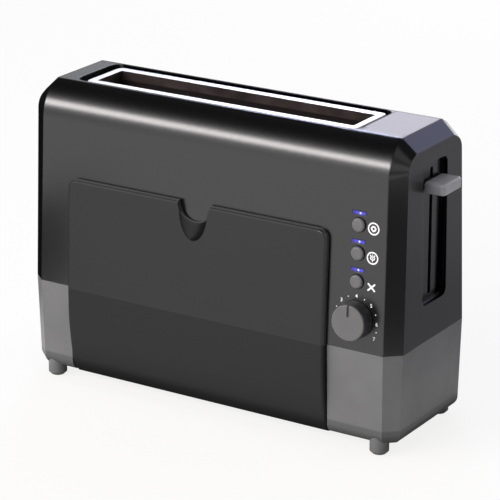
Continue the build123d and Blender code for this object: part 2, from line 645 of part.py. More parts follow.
def front_lean(z):
    return FRONT_DRAFT * (z - JUNCTION_Z)


def toe_point(angle):
    turn = math.radians(angle)
    along = TRAY_HINGE_INSET + TRAY_TOE_RADIUS * math.cos(turn)
    return along, TRAY_HINGE_Z + TRAY_TOE_RADIUS * math.sin(turn)


def tray_block():
    """Tray seen from the end: outer line, rounded toe about the hinge, side rims and flat back."""
    lines = tray_profile()
    toe = lines[-1] @ 1
    turn = toe_point(TRAY_TOE_TURN_ANGLE)
    rise = toe_point(TRAY_TOE_RISE_ANGLE)
    rim = (TRAY_HINGE_INSET - TRAY_RIM_OUT, TRAY_RIM_Z)
    seat = (-TRAY_GAP, TRAY_RIM_Z + TRAY_SEAT_RISE)
    back_top = (front_lean(TRAY_TOP_Z) - TRAY_GAP, TRAY_TOP_Z)
    lines += [
        ThreePointArc((toe.X, toe.Y), turn, rise),
        Polyline(rise, rim, seat, back_top, lines[0] @ 0),
    ]
    return make_face(lines)


def tray_hollow():
    """Region behind the tray's skin, open to the back."""
    lines = tray_profile()
    toe = lines[-1] @ 1
    top = lines[0] @ 0
    behind = TRAY_HINGE_INSET + TRAY_FLOOR_GAP + TRAY_TOE_RADIUS
    lines += [Polyline((toe.X, toe.Y), (behind, toe.Y), (behind, top.Y), (top.X, top.Y))]
    return offset(make_face(lines), -TRAY_SKIN, kind=Kind.INTERSECTION)


def along_x(face, x):
    """Extrude a section drawn in Y and Z between two places on X."""
    return extrude(Plane.YZ.offset(x[0]) * face, x[1] - x[0])


def serving_tray():
    """Front tray: a pan with a rounded outer edge, a thumb notch and a scoop under it."""
    block = along_x(tray_block(), TRAY_X)
    outline = RectangleRounded(TRAY_LENGTH, 2 * TRAY_TOP_Z, TRAY_CORNER)
    block &= extrude(Plane.XZ * Pos(SLOT_CENTRE_X, 0) * outline, BODY_HEIGHT, both=True)
    block = fillet(tray_outer_edges(block), TRAY_EDGE)
    pan = along_x(tray_hollow(), (TRAY_X[0] + TRAY_SKIN, TRAY_X[1] - TRAY_SKIN))
    grip_x = (SLOT_CENTRE_X - NOTCH_RADIUS - TRAY_SKIN, SLOT_CENTRE_X + NOTCH_RADIUS + TRAY_SKIN)
    pan -= span(grip_x, (-BODY_HEIGHT, BODY_HEIGHT), (SCOOP_BOTTOM_Z - TRAY_SKIN, BODY_HEIGHT))
    tray = Pos(0, -JUNCTION_HALF_DEPTH, 0) * (block - pan)
    notch_z = NOTCH_BOTTOM_Z + NOTCH_RADIUS
    notch = deep(SLOT_CENTRE_X, (-BODY_HEIGHT, 0), notch_z, NOTCH_RADIUS)
    scoop_z = SCOOP_BOTTOM_Z + SCOOP_HEIGHT
    scoop = scale(Sphere(1.0), by=(SCOOP_HALF_WIDTH, SCOOP_DEPTH, SCOOP_HEIGHT))
    scoop = on_front(SLOT_CENTRE_X, scoop_z, TRAY_PROUD) * Rot(90, 0, 0) * scoop
    ears_x = (TRAY_X[0] - WALL, TRAY_X[1] + WALL)
    ears = across(ears_x, TRAY_HINGE_Y, TRAY_HINGE_Z, HINGE_PIN_RADIUS + PIN_FIT)
    return tray - notch - scoop - ears


def tray_outer_edges(block):
    """Edges round the tray's outer face, without those of its toe."""
    outer = [f for f in block.faces() if f.normal_at().Y < -0.7]
    rim = [e for f in outer for e in f.edges()]
    shared = [e for e in rim if sum(e.is_same(other) for other in rim) == 1]
    return [e for e in shared if e.center().Z > TRAY_HINGE_Z + TRAY_TOE_RADIUS]


def tray_liner():
    """Thin sheet on the inside of the tray's skin, under the grip."""
    heights = (JUNCTION_Z + LINER_MARGIN, SCOOP_BOTTOM_Z - TRAY_SKIN - LINER_MARGIN)
    size = (TRAY_LENGTH - 2 * TRAY_SKIN - 2 * LINER_MARGIN, (heights[1] - heights[0]) * FRONT_STRETCH)
    seat = TRAY_PROUD / FRONT_STRETCH - TRAY_SKIN - PIN_FIT
    return front_box(SLOT_CENTRE_X, sum(heights) / 2, size, (seat - LINER_SHEET, seat))


def tray_hinge_pins():
    """Two pins fixed in the tray's sides, turning in the base's cheeks."""
    left = (JAMB_X[0] - CHEEK_THICKNESS, TRAY_X[0] + TRAY_SKIN)
    right = (TRAY_X[1] - TRAY_SKIN, JAMB_X[1] + CHEEK_THICKNESS)
    return [across(x, TRAY_HINGE_Y, TRAY_HINGE_Z, HINGE_PIN_RADIUS) for x in (left, right)]


def inner_plate(face_x, side):
    """Upright chassis plate with a foot flange turned away from the bread."""
    x = sorted((face_x, face_x + side * SHEET))
    flange_x = sorted((face_x, face_x + side * (SHEET + PLATE_FLANGE)))
    depth = (-PLATE_HALF_DEPTH, PLATE_HALF_DEPTH)
    flange_depth = (-PLATE_BOSS_Y - PLATE_FLANGE / 2, PLATE_BOSS_Y + PLATE_FLANGE / 2)
    web = span(x, depth, (PLATE_FOOT_Z, PLATE_TOP_Z))
    web += span(flange_x, flange_depth, (PLATE_FOOT_Z, PLATE_FOOT_Z + SHEET))
    hole = SCREW_RADIUS + SCREW_CLEARANCE
    web -= [upright(px, py, (0, BODY_HEIGHT), hole) for px, py in plate_screw_places()]
    shaft = across((x[0] - WALL, x[1] + WALL), GATE_Y, GATE_Z, GATE_SHAFT_RADIUS + RUNNING_CLEARANCE)
    return web - shaft


def reflector(side):
    """Bright sheet behind a heater, with lips turned towards it at top and bottom."""
    y = sorted((side * REFLECTOR_Y, side * (REFLECTOR_Y + REFLECTOR_SHEET)))
    lip_y = sorted((side * (REFLECTOR_Y - REFLECTOR_LIP), side * REFLECTOR_Y))
    sheet = span(PLATE_X, y, (HEATER_BOTTOM_Z, HEATER_TOP_Z))
    sheet += span(PLATE_X, lip_y, (HEATER_BOTTOM_Z, HEATER_BOTTOM_Z + REFLECTOR_SHEET))
    return sheet + span(PLATE_X, lip_y, (HEATER_TOP_Z - REFLECTOR_SHEET, HEATER_TOP_Z))


def heater_board(side):
    y = sorted((side * HEATER_Y, side * (HEATER_Y + HEATER_BOARD)))
    return span(PLATE_X, y, (HEATER_BOTTOM_Z, HEATER_TOP_Z))


def heater_ribbon(side):
    """Flat resistance ribbon in upright runs on the bread side of its board."""
    pitch = (SLOT_LENGTH - 2 * RIBBON_MARGIN) / (RIBBON_RUNS - 1)
    ends = (HEATER_BOTTOM_Z + RIBBON_MARGIN, HEATER_TOP_Z - RIBBON_MARGIN)
    points = []
    for run in range(RIBBON_RUNS):
        x = SLOT_X[0] + RIBBON_MARGIN + run * pitch
        up = ends if run % 2 == 0 else ends[::-1]
        points += [(x, up[0]), (x, up[1])]
    strip = trace(Polyline(*points), RIBBON_WIDTH)
    board_face = Plane(origin=(0, side * HEATER_Y, 0), x_dir=(1, 0, 0), z_dir=(0, -1, 0))
    return extrude(board_face * strip, side * RIBBON_THICKNESS)


def bread_guide(side):
    """Welded wire grid: upright wires on two rails that end on the chassis plates."""
    rail_y = side * (GUIDE_Y + GUIDE_WIRE_RADIUS + GUIDE_RAIL_RADIUS / 2)
    rails = (GUIDE_BOTTOM_Z + 2 * GUIDE_RAIL_RADIUS, HEATER_TOP_Z - 2 * GUIDE_RAIL_RADIUS)
    rail = RegularPolygon(GUIDE_RAIL_RADIUS, GUIDE_WIRE_SIDES)
    wire = RegularPolygon(GUIDE_WIRE_RADIUS, GUIDE_WIRE_SIDES)
    grid = [along_x(Pos(rail_y, z) * rail, PLATE_X) for z in rails]
    pitch = SLOT_LENGTH / GUIDE_WIRES
    for place in range(GUIDE_WIRES):
        x = SLOT_X[0] + (place + 0.5) * pitch
        grid.append(extrude(Pos(x, side * GUIDE_Y, GUIDE_BOTTOM_Z) * wire, HEATER_TOP_Z - GUIDE_BOTTOM_Z))
    return grid[0] + grid[1:]


def exit_chute():
    """Bent sheet that turns falling toast forwards into the tray."""
    lip = (FLOOR_FRONT_Y + CHUTE_LIP_GAP, CHUTE_LIP_Z)
    path = FilletPolyline(
        (CHUTE_BACK_Y, CHUTE_TOP_Z), (CHUTE_BACK_Y, CHUTE_BEND_Z), lip, radius=CHUTE_BEND_RADIUS
    )
    return along_x(trace(path, CHUTE_SHEET), PLATE_X)


def bread_gate():
    """Windowed flap that hangs from its shaft and turns up under the bread."""
    gate_x = (PLATE_X[0] + GATE_SIDE_GAP, PLATE_X[1] - GATE_SIDE_GAP)
    flap_y = (GATE_Y - GATE_SHEET / 2, GATE_Y + GATE_SHEET / 2)
    flap = span(gate_x, flap_y, (GATE_Z - GATE_REACH, GATE_Z))
    pitch = (gate_x[1] - gate_x[0]) / GATE_WINDOWS
    window_z = (GATE_Z - GATE_REACH + GATE_FRAME, GATE_Z - GATE_FRAME)
    for window in range(GATE_WINDOWS):
        left = gate_x[0] + window * pitch + GATE_FRAME / 2
        flap -= span((left, left + pitch - GATE_FRAME), (0, BODY_HEIGHT), window_z)
    knuckle = across(gate_x, GATE_Y, GATE_Z, GATE_SHAFT_RADIUS + GATE_KNUCKLE_WALL)
    bore = across(PLATE_X, GATE_Y, GATE_Z, GATE_SHAFT_RADIUS + PIN_FIT)
    return flap + knuckle - bore


def gate_shaft():
    ends = (PLATE_X[0] - SHEET, CAM_X - CRANK_GAP)
    return across(ends, GATE_Y, GATE_Z, GATE_SHAFT_RADIUS)


def crank_pin_place(angle):
    turn = math.radians(CRANK_REST_ANGLE) + angle
    return GATE_Y + CRANK_RADIUS * math.cos(turn), GATE_Z + CRANK_RADIUS * math.sin(turn)


def gate_crank():
    """Short arm on the shaft's end with the pin that follows the cam."""
    crank_x = (CAM_X - CRANK_GAP - CRANK_THICKNESS, CAM_X - CRANK_GAP)
    pin_y, pin_z = crank_pin_place(0.0)
    middle = Pos((GATE_Y + pin_y) / 2, (GATE_Z + pin_z) / 2) * Rot(0, 0, CRANK_REST_ANGLE)
    outline = Pos(GATE_Y, GATE_Z) * Circle(CRANK_HUB_RADIUS)
    outline += middle * Rectangle(CRANK_RADIUS, CRANK_ARM_WIDTH)
    outline += Pos(pin_y, pin_z) * Circle(CRANK_EYE_RADIUS)
    outline -= Pos(GATE_Y, GATE_Z) * Circle(GATE_SHAFT_RADIUS + PIN_FIT)
    pin_x = (crank_x[0], CAM_X + CAM_SHEET + CRANK_GAP)
    return along_x(outline, crank_x) + across(pin_x, pin_y, pin_z, CRANK_PIN_RADIUS)


def gate_cam():
    """Plate on the carriage whose slot is the pin's path as the carriage travels."""
    stroke = LEVER_DOWN + LEVER_LIFT
    travel = [LEVER_LIFT - step * stroke / CAM_STEPS for step in range(CAM_STEPS + 1)]
    path = []
    for lift in travel:
        pin_y, pin_z = crank_pin_place(GATE_RATE * lift)
        path.append((pin_y, pin_z - lift))
    slot_radius = CRANK_PIN_RADIUS + CAM_SLOT_CLEARANCE
    edge = slot_radius + CAM_MARGIN
    cam_x = (CAM_X, CAM_X + CAM_SHEET)
    cam = span(cam_x, (path[0][0] - edge, path[-1][0] + edge), (path[0][1] - edge, path[-1][1] + edge))
    slot = along_x(trace(Spline(*path), 2 * slot_radius), cam_x)
    for pin_y, pin_z in (path[0], path[-1]):
        slot += across(cam_x, pin_y, pin_z, slot_radius)
    return cam - slot


def lever_carriage():
    """Sliding block on the guide rod, with the arm's seat, the cam's pad and the spring's ear."""
    boss = upright(ROD_X, 0, (CARRIAGE_BOTTOM_Z, CARRIAGE_TOP_Z), CARRIAGE_BOSS_RADIUS)
    half = CARRIAGE_ARM_WIDTH / 2
    block = boss + span((ROD_X, CARRIAGE_END_X), (-half, half), (CARRIAGE_ARM_Z, CARRIAGE_TOP_Z))
    block += span((CAM_X + CAM_SHEET, ROD_X), (0, GATE_Y - half), (CARRIAGE_ARM_Z, CARRIAGE_TOP_Z))
    ear_z = (CARRIAGE_BOTTOM_Z, CARRIAGE_BOTTOM_Z + SPRING_EAR_THICKNESS)
    block += upright(SPRING_X, SPRING_Y, ear_z, SPRING_EAR_RADIUS)
    block += span((ROD_X, SPRING_X), (SPRING_Y - half, 0), ear_z)
    block -= upright(ROD_X, 0, (0, BODY_HEIGHT), ROD_RADIUS + RUNNING_CLEARANCE)
    return block - lever_arm()


def lever_arm():
    """Flat steel arm from the carriage through the track's slot into the knob."""
    outer = KNOB_END_X - LEVER_KNOB_REACH / 2
    half_y = LEVER_ARM_THICKNESS / 2
    half_z = LEVER_ARM_HEIGHT / 2
    return span((END_X - LEVER_ARM_INSET, outer), (-half_y, half_y), (LEVER_Z - half_z, LEVER_Z + half_z))


def lever_knob():
    """Finger block outside the end cap, socketed on the arm."""
    root = KNOB_END_X - LEVER_KNOB_REACH - LEVER_KNOB_SINK
    half_z = LEVER_KNOB_HEIGHT / 2
    half_y = LEVER_KNOB_WIDTH / 2
    block = span((root, KNOB_END_X), (-half_y, half_y), (LEVER_Z - half_z, LEVER_Z + half_z))
    corners = block.edges().filter_by(Axis.Z).group_by(Axis.X)[-1]
    block = fillet(corners, LEVER_KNOB_CORNER)
    rims = [e for e in block.edges() if abs(e.tangent_at(0.5).Z) < 0.5 and e.center().X > root + WALL]
    return fillet(rims, LEVER_KNOB_EDGE) - lever_arm()


def latch_plate():
    """Steel pad under the carriage that the magnet holds."""
    half = LATCH_SIZE / 2
    return span((LATCH_X - half, LATCH_X + half), (-half, half), (LATCH_BOTTOM_Z, CARRIAGE_ARM_Z))


def rod_bracket(bottom_z, reach_x, up):
    """Angle bracket from the right chassis plate to the guide rod, clear of the cam's path."""
    root = PLATE_X[1] + SHEET
    z = (bottom_z, bottom_z + BRACKET_SHEET)
    tab_z = sorted((z[0] if up > 0 else z[1], z[0] + up * BRACKET_TAB))
    arm_y = (-BRACKET_HALF_WIDTH, BRACKET_HALF_WIDTH)
    neck_y = (-BRACKET_HALF_WIDTH - SPRING_EAR_RADIUS, 0)
    arm = span((CAM_X + CAM_SHEET + BRACKET_CAM_GAP, reach_x), arm_y, z)
    arm += span((root, SPRING_X), neck_y, z)
    arm += span((root, root + BRACKET_SHEET), (neck_y[0], -BRACKET_TAB_GAP), tab_z)
    return arm - upright(ROD_X, 0, (0, BODY_HEIGHT), ROD_RADIUS + PIN_FIT)


def return_spring():
    """Tension spring from the carriage's ear to the upper bracket, one unbroken coil."""
    foot_z = CARRIAGE_BOTTOM_Z + SPRING_EAR_THICKNESS + SPRING_WIRE_RADIUS
    height = UPPER_BRACKET_Z - SPRING_WIRE_RADIUS - foot_z
    coil = Pos(SPRING_X, SPRING_Y, foot_z) * Helix(height / SPRING_TURNS, height, SPRING_RADIUS)
    wire = Plane(coil @ 0, z_dir=coil % 0) * RegularPolygon(SPRING_WIRE_RADIUS, SPRING_WIRE_SIDES)
    return sweep(wire, path=coil, is_frenet=True)


def magnet_core():
    """Post under the latch plate, standing on the lower bracket."""
    half = LATCH_SIZE / 2
    z = (LOWER_BRACKET_Z + BRACKET_SHEET, MAGNET_TOP_Z)
    return span((LATCH_X - half, LATCH_X + half), (-half, half), z)


def magnet_coil():
    size = LATCH_SIZE + 2 * MAGNET_COIL_WALL
    z = (LOWER_BRACKET_Z + BRACKET_SHEET, LOWER_BRACKET_Z + BRACKET_SHEET + MAGNET_COIL_HEIGHT)
    bobbin = plate(z, (LATCH_X, 0), (size, size), MAGNET_COIL_WALL)
    hole = LATCH_SIZE + 2 * SEAT_GAP
    return bobbin - plate(z, (LATCH_X, 0), (hole, hole))


def button(z):
    """Round cap with a retaining flange behind the wall and a stem to its switch."""
    cap = front_rod(CONTROL_X, z, (-WALL - SEAT_GAP, BUTTON_PROUD), BUTTON_RADIUS)
    rim = cap.edges().sort_by(Axis((0, 0, 0), (0, -1, FRONT_DRAFT)))[-1]
    cap = fillet(rim, BUTTON_EDGE)
    flange_back = -WALL - SEAT_GAP - BUTTON_FLANGE
    cap += front_rod(CONTROL_X, z, (flange_back, -WALL - SEAT_GAP), BUTTON_FLANGE_RADIUS)
    stem_end = -BOARD_DEPTH + SWITCH_HEIGHT + BUTTON_TRAVEL + SEAT_GAP
    return cap + front_rod(CONTROL_X, z, (stem_end, flange_back), BUTTON_STEM_RADIUS)


def button_switches():
    size = (SWITCH_SIZE, SWITCH_SIZE)
    depths = (-BOARD_DEPTH, -BOARD_DEPTH + SWITCH_HEIGHT)
    return [front_box(CONTROL_X, z, size, depths) for z in BUTTON_Z.values()]


def status_lights():
    """Light bars set flush in the front wall above each button."""
    size = (LIGHT_LENGTH, LIGHT_HEIGHT)
    return [front_box(CONTROL_X, z + LIGHT_RISE, size, (-LIGHT_DEPTH, 0)) for z in BUTTON_Z.values()]


def control_board():
    low, high = control_board_heights()
    size = (2 * BOARD_HALF_WIDTH, (high - low) * FRONT_STRETCH)
    return front_box(CONTROL_X, (low + high) / 2, size, (-BOARD_DEPTH - BOARD_SHEET, -BOARD_DEPTH))


def dial_potentiometer():
    """Turning control on the board, its bush through the wall round the dial's shaft."""
    face = -WALL - POT_WALL_GAP
    can = front_rod(CONTROL_X, DIAL_Z, (-BOARD_DEPTH, face), POT_RADIUS)
    can += front_rod(CONTROL_X, DIAL_Z, (face, 0), POT_BUSH_RADIUS)
    return can - front_rod(CONTROL_X, DIAL_Z, (-BOARD_DEPTH, 0), DIAL_SHAFT_RADIUS + RUNNING_CLEARANCE)


def dial_shaft():
    return front_rod(CONTROL_X, DIAL_Z, (-BOARD_DEPTH + SEAT_GAP, DIAL_PROUD / 2), DIAL_SHAFT_RADIUS)


def dial_knob():
    """Tapered knob with a rounded face edge and a pointer groove that stands up at rest."""
    height = DIAL_PROUD - DIAL_GAP
    middle = on_front(CONTROL_X, DIAL_Z, (DIAL_GAP + DIAL_PROUD) / 2)
    knob = middle * Cone(DIAL_SKIRT_RADIUS, DIAL_FACE_RADIUS, height)
    knob = fillet(knob.edges().sort_by(Axis((0, 0, 0), (0, -1, FRONT_DRAFT)))[-1], DIAL_EDGE)
    reach = DIAL_FACE_RADIUS - DIAL_EDGE - DIAL_POINTER_INNER
    groove = on_front(CONTROL_X, DIAL_Z, DIAL_PROUD) * Pos(0, DIAL_POINTER_INNER + reach / 2, 0)
    knob -= groove * Box(DIAL_POINTER_WIDTH, reach, 2 * DIAL_POINTER_DEPTH)
    return knob - dial_shaft()


def power_board():
    """Board behind the lever with its relay, transformer and capacitor."""
    y = (POWER_BOARD_Y, POWER_BOARD_Y + BOARD_SHEET)
    board = span(POWER_BOARD_X, y, POWER_BOARD_Z)
    left = POWER_BOARD_X[0] + 2 * POST_INSET
    low = POWER_BOARD_Z[0] + 2 * POST_INSET
    board += board_part(left, low, RELAY_SIZE)
    shelf = low + RELAY_SIZE[2] + BOARD_PART_GAP
    board += board_part(left, shelf, TRANSFORMER_SIZE)
    can_x = left + TRANSFORMER_SIZE[0] + BOARD_PART_GAP
    can_y = (POWER_BOARD_Y - CAPACITOR_LENGTH, POWER_BOARD_Y)
    return board + deep(can_x, can_y, shelf + TRANSFORMER_SIZE[2] / 2, CAPACITOR_RADIUS)


def board_part(left, low, size):
    """Boxed component standing on the power board."""
    return span((left, left + size[0]), (POWER_BOARD_Y - size[1], POWER_BOARD_Y), (low, low + size[2]))


def guide_rod():
    return upright(ROD_X, 0, (LOWER_BRACKET_Z, UPPER_BRACKET_Z + BRACKET_SHEET), ROD_RADIUS)


def group(solids):
    """Identical pieces that share one node."""
    return Compound([solid for piece in solids for solid in piece.solids()])


def main():
    write("body_wrap", body_wrap())
    cap_solid, cap = end_cap()
    write("left_end_cap", mirror(cap, about=Plane.YZ))
    wall, track, slot = lever_track(cap_solid)
    write("right_end_cap", cap + wall - track - slot)
    write("slot_trim", slot_trim())
    write("base_shell", base_shell())
    for name, x, y in foot_places():
        write(name, foot(x, y))
    write("bottom_plate", bottom_plate())
    write("base_screws", group(screws(crumb_screw_places(), BASE_BOTTOM_Z - SHEET, FLOOR_TOP_Z)))
    write("cord_gland", cord_gland())
    write("serving_tray", serving_tray())
    write("tray_liner", tray_liner())
    write("tray_hinge_pins", group(tray_hinge_pins()))
    write("left_inner_plate", inner_plate(PLATE_X[0], -1))
    write("right_inner_plate", inner_plate(PLATE_X[1], 1))
    write("chassis_screws", group(screws(plate_screw_places(), PLATE_FOOT_Z + SHEET, FLOOR_TOP_Z)))
    for place, side in (("front", -1), ("back", 1)):
        write(f"{place}_reflector", reflector(side))
        write(f"{place}_heater_board", heater_board(side))
        write(f"{place}_heater_ribbon", heater_ribbon(side))
        write(f"{place}_bread_guide", bread_guide(side))
    write("exit_chute", exit_chute())
    write("bread_gate", bread_gate())
    write("gate_shaft", gate_shaft())
    write("gate_crank", gate_crank())
    write("gate_cam", gate_cam())
    write("lever_carriage", lever_carriage())
    write("lever_arm", lever_arm())
    write("lever_knob", lever_knob())
    write("latch_plate", latch_plate())
    write("guide_rod", guide_rod())
    write("upper_rod_bracket", rod_bracket(UPPER_BRACKET_Z, SPRING_X + SPRING_EAR_RADIUS, -1))
    write("lower_rod_bracket", rod_bracket(LOWER_BRACKET_Z, CARRIAGE_END_X, 1))
    write("return_spring", return_spring())
    write("magnet_core", magnet_core())
    write("magnet_coil", magnet_coil())
    write("power_board", power_board())
    write("control_board", control_board())
    write("dial_potentiometer", dial_potentiometer())
    write("dial_shaft", dial_shaft())
    write("dial_knob", dial_knob())
    write("button_switches", group(button_switches()))
    write("status_lights", group(status_lights()))
    for name, z in BUTTON_Z.items():
        write(name, button(z))


main()
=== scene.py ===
import json
import math

import bmesh
import bpy
from mathutils import Matrix, Vector


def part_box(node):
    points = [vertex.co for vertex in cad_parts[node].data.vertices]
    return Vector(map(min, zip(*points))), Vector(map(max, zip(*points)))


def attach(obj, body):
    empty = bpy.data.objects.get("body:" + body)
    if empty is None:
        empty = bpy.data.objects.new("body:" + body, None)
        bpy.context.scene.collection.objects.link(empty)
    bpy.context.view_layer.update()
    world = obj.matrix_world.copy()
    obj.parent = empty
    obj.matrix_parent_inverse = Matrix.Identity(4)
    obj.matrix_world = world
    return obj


# Slide-through toaster: looks round the fixed frame. Metres, +X to the lever end, +Y to the back, +Z up.
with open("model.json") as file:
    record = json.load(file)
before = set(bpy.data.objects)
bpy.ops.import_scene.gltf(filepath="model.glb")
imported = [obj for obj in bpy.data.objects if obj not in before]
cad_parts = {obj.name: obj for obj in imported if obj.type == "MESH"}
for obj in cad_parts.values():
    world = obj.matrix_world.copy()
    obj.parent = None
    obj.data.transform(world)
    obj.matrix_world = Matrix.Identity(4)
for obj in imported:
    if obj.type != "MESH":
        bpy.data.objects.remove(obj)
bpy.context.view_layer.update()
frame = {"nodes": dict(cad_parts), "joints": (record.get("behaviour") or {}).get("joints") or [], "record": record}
NODES = frame["nodes"]
MM = 0.001
ALONG = Vector((1.0, 0.0, 0.0))
ACROSS = Vector((0.0, 1.0, 0.0))
UP = Vector((0.0, 0.0, 1.0))
WHITE = (1.0, 1.0, 1.0)

# Camera of the photograph
CAMERA_PLACE = Vector((1.16045, -1.8302, 0.8975))
CAMERA_TARGET = Vector((-0.00234, 0.00511, 0.13598))
CAMERA_LENS = 188.2
CAMERA_SENSOR = 36.0
CAMERA_CLIP = (0.05, 50.0)

# Front face: leans back from the junction line by this share of its height
FRONT_DRAFT = 0.046
FRONT_OUT = Vector((0.0, -1.0, FRONT_DRAFT)).normalized()
WRAP_LOW, WRAP_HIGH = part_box("body_wrap")

# Noise and edges that the finishes share
NOISE_RANGE = (0.3, 0.7)
CLOUD_SCALE = 26.0
CLOUD_DETAIL = 4.0
CLOUD_VARY = 0.08
FAINT_VARY = 0.06
GLOSS_SCALE = 140.0
GLOSS_VARY = 0.03
GRAIN_SCALE = 2600.0
GRAIN_DETAIL = 2.0
GRAIN_DEPTH = 0.05 * MM
EDGE_SAMPLES = 6
PLASTIC_EDGE = 0.6 * MM
KNOB_EDGE = 0.5 * MM
METAL_EDGE = 0.3 * MM
MICA_EDGE = 0.2 * MM
SOFT_SPECULAR = 0.4

# Sockets of the Mix node by its data type: first input, second input and output
MIX_SOCKETS = {"VECTOR": (4, 5, 1), "RGBA": (6, 7, 2)}

# Most pairs below are where a finish starts to change and where the change is full.

# Painted shell
SHELL_COLOR = (0.004, 0.004, 0.0042)
SHELL_ROUGHNESS = 0.25
SHELL_SPECULAR = 0.93
SHELL_CLOUD_SCALE = 18.0
SHELL_STREAK_SCALE = 420.0
SHELL_STREAK_STRETCH = (1.0, 1.0, 0.012)
SHELL_STREAK_GLOSS = (0.235, 0.265)
SHELL_GRAIN_SCALE = 2200.0
SHELL_GRAIN = 0.012
SHELL_EDGE = 0.7 * MM

# Softer front edge of the flat top, right of the slot
TOP_EDGE_SOFT = 6.0 * MM
TOP_EDGE_SAMPLES = 8
TOP_EDGE_START = (95.0 * MM, 120.0 * MM)
TOP_EDGE_STOP = (6.0 * MM, 3.0 * MM)
TOP_EDGE_DROP = (8.5 * MM, 6.0 * MM)
TOP_EDGE_BACK = (-20.0 * MM, -15.0 * MM)

# Painted shade on the edges of the sunk well round the slot
WELL_RIGHT_GAP = 3.9 * MM
WELL_HALF_WIDTH = 31.6 * MM
WELL_EDGE = 1.5 * MM
WELL_EDGE_FADE = 0.3 * MM
WELL_EDGE_DROP = (3.5 * MM, 2.5 * MM)
WELL_EDGE_FRONT = (27.0 * MM, 22.0 * MM)

# Painted shade on the far side and foot of the lever track, from the middle of the lever
TRACK_OUT = Vector((1.0, 0.0, 0.011)).normalized()
TRACK_HALF_WIDTH = 21.0 * MM
TRACK_SHADE = (12.0 * MM, 9.5 * MM)
TRACK_SUNK = (0.1 * MM, 0.4 * MM)
TRACK_RIM = (0.1 * MM, 0.2 * MM)
TRACK_FADE = 1.0 * MM
TRACK_RISE = 20.0 * MM
TRACK_FALL = (103.6 * MM, 103.2 * MM)
TRACK_FOOT = (95.0 * MM, 98.5 * MM)
TRACK_FOOT_SHADE_SHARE = 0.85

# Tray; its colours are grey levels, and a turn is how far a surface faces a direction
# The upper level is the tray's own grey; the lower level is painted shade below the crease
TRAY_UPPER = 0.0205
TRAY_LOWER_SHADE = 0.0085
# Painted shade in the scoop, deepest on the walls that turn away
TRAY_SCOOP_SHADE = 0.019
TRAY_SCOOP_DEEP_SHADE = 0.004
# Painted highlight on the rim round the notch
TRAY_RIM_HIGHLIGHT = 0.05
# Painted light on the right side and on the top
TRAY_PAINTED_LIGHT = 0.07
# Painted shade along the front edge of the top
TRAY_FRONT_EDGE_SHADE = 0.016
TRAY_FLAT_ROUGHNESS = 0.55
TRAY_SUNK_ROUGHNESS = 0.85
TRAY_CORNER_ROUGH_SHARE = 0.36
TRAY_SCOOP_SHADE_METAL = 0.7
TRAY_FRONT_EDGE_SHADE_METAL = 0.2
TRAY_GRAIN = 0.04
TRAY_CREASE_FADE = 0.2 * MM
TRAY_EDGE_DROP = (0.1 * MM, 1.2 * MM)
TRAY_NOTCH_RISE = -1.0 * MM
TRAY_NOTCH_RIM = (17.1 * MM, 17.5 * MM)
TRAY_CROWN_DROP = (3.4 * MM, 3.0 * MM)
TRAY_CORNER_REACH = (10.0 * MM, 7.0 * MM)
TRAY_SIDE_REACH = (6.0 * MM, 4.0 * MM)
TRAY_SCOOP_AXIS = Vector((-0.8, 0.0, 0.6))
TRAY_SCOOP_TURN = (0.02, 0.34)
TRAY_LEVEL_TURN = (0.7, 0.92)
TRAY_BENT_TURN = (0.15, 0.4)
TRAY_SIDE_TURN = (0.3, 0.7)
TRAY_CURVED_TURN = (0.97, 0.995)

# Base
BASE_COLOR = (0.19, 0.19, 0.19)
# Painted shade where the base turns under: heights over its bottom, and the share of the colour left
BASE_FOOT_RISE = (12.5 * MM, 15.0 * MM)
BASE_FOOT_SHADE = 0.65

# Slot trim; the walls inside are dark brown with stains, with painted shade further down
TRIM_BRIGHT = (0.94, 0.94, 0.94)
TRIM_WALL_BROWN = (0.041, 0.031, 0.029)
TRIM_RIM_SHADE = (0.004, 0.004, 0.004)
TRIM_ROUGHNESS = 0.3
TRIM_STAIN_SCALE = 70.0
TRIM_STAIN_SHADES = (0.6, 1.5)
TRIM_DEEP_SHADE = 0.35
TRIM_TOP_TURN = (0.3, 0.7)
TRIM_RIM_SHADE_RIGHT = 2.4 * MM
TRIM_RIM_SHADE_FRONT = 2.0 * MM
TRIM_RIM_SHADE_FADE = 0.2 * MM
TRIM_WALL_SHADE_DROP = (8.4 * MM, 7.6 * MM)

# Brushed metal, with how its lines are stretched, and mica
BRUSH_SCALE = 900.0
BRUSH_SHADES = (0.9, 1.04)
BRUSH_ROUGHER = (-0.03, 0.05)
BRUSH_GRAIN = 0.05
BRUSH_ALONG = (0.02, 1.0, 1.0)
BRUSH_UP = (1.0, 1.0, 0.03)
BRUSH_COIL = (1.0, 1.0, 0.05)
# Mica's own brown, darkened further as painted shade of the deep slot
MICA_COLOR = (0.04, 0.03, 0.024)
MICA_ROUGHNESS = 0.55
MICA_SCALE = 300.0
MICA_DETAIL = 6.0
MICA_SHADES = (0.7, 1.25)
MICA_GRAIN = 0.2

# Dial and buttons
CAP_CLOUD_SCALE = 60.0
CAP_GRAIN = 0.05
CAP_GROOVE_COLOR = (0.006, 0.006, 0.006)
BUTTON_FACE_FADE = (2.0 * MM, 1.2 * MM)
DIAL_FACE_FADE = (2.6 * MM, 0.2 * MM)
DIAL_GROOVE_HALF = (0.95 * MM, 0.75 * MM)
DIAL_GROOVE_START = (6.2 * MM, 6.8 * MM)
POINTER_REACH = (6.4 * MM, 13.4 * MM)
POINTER_WIDTH = 2.1 * MM

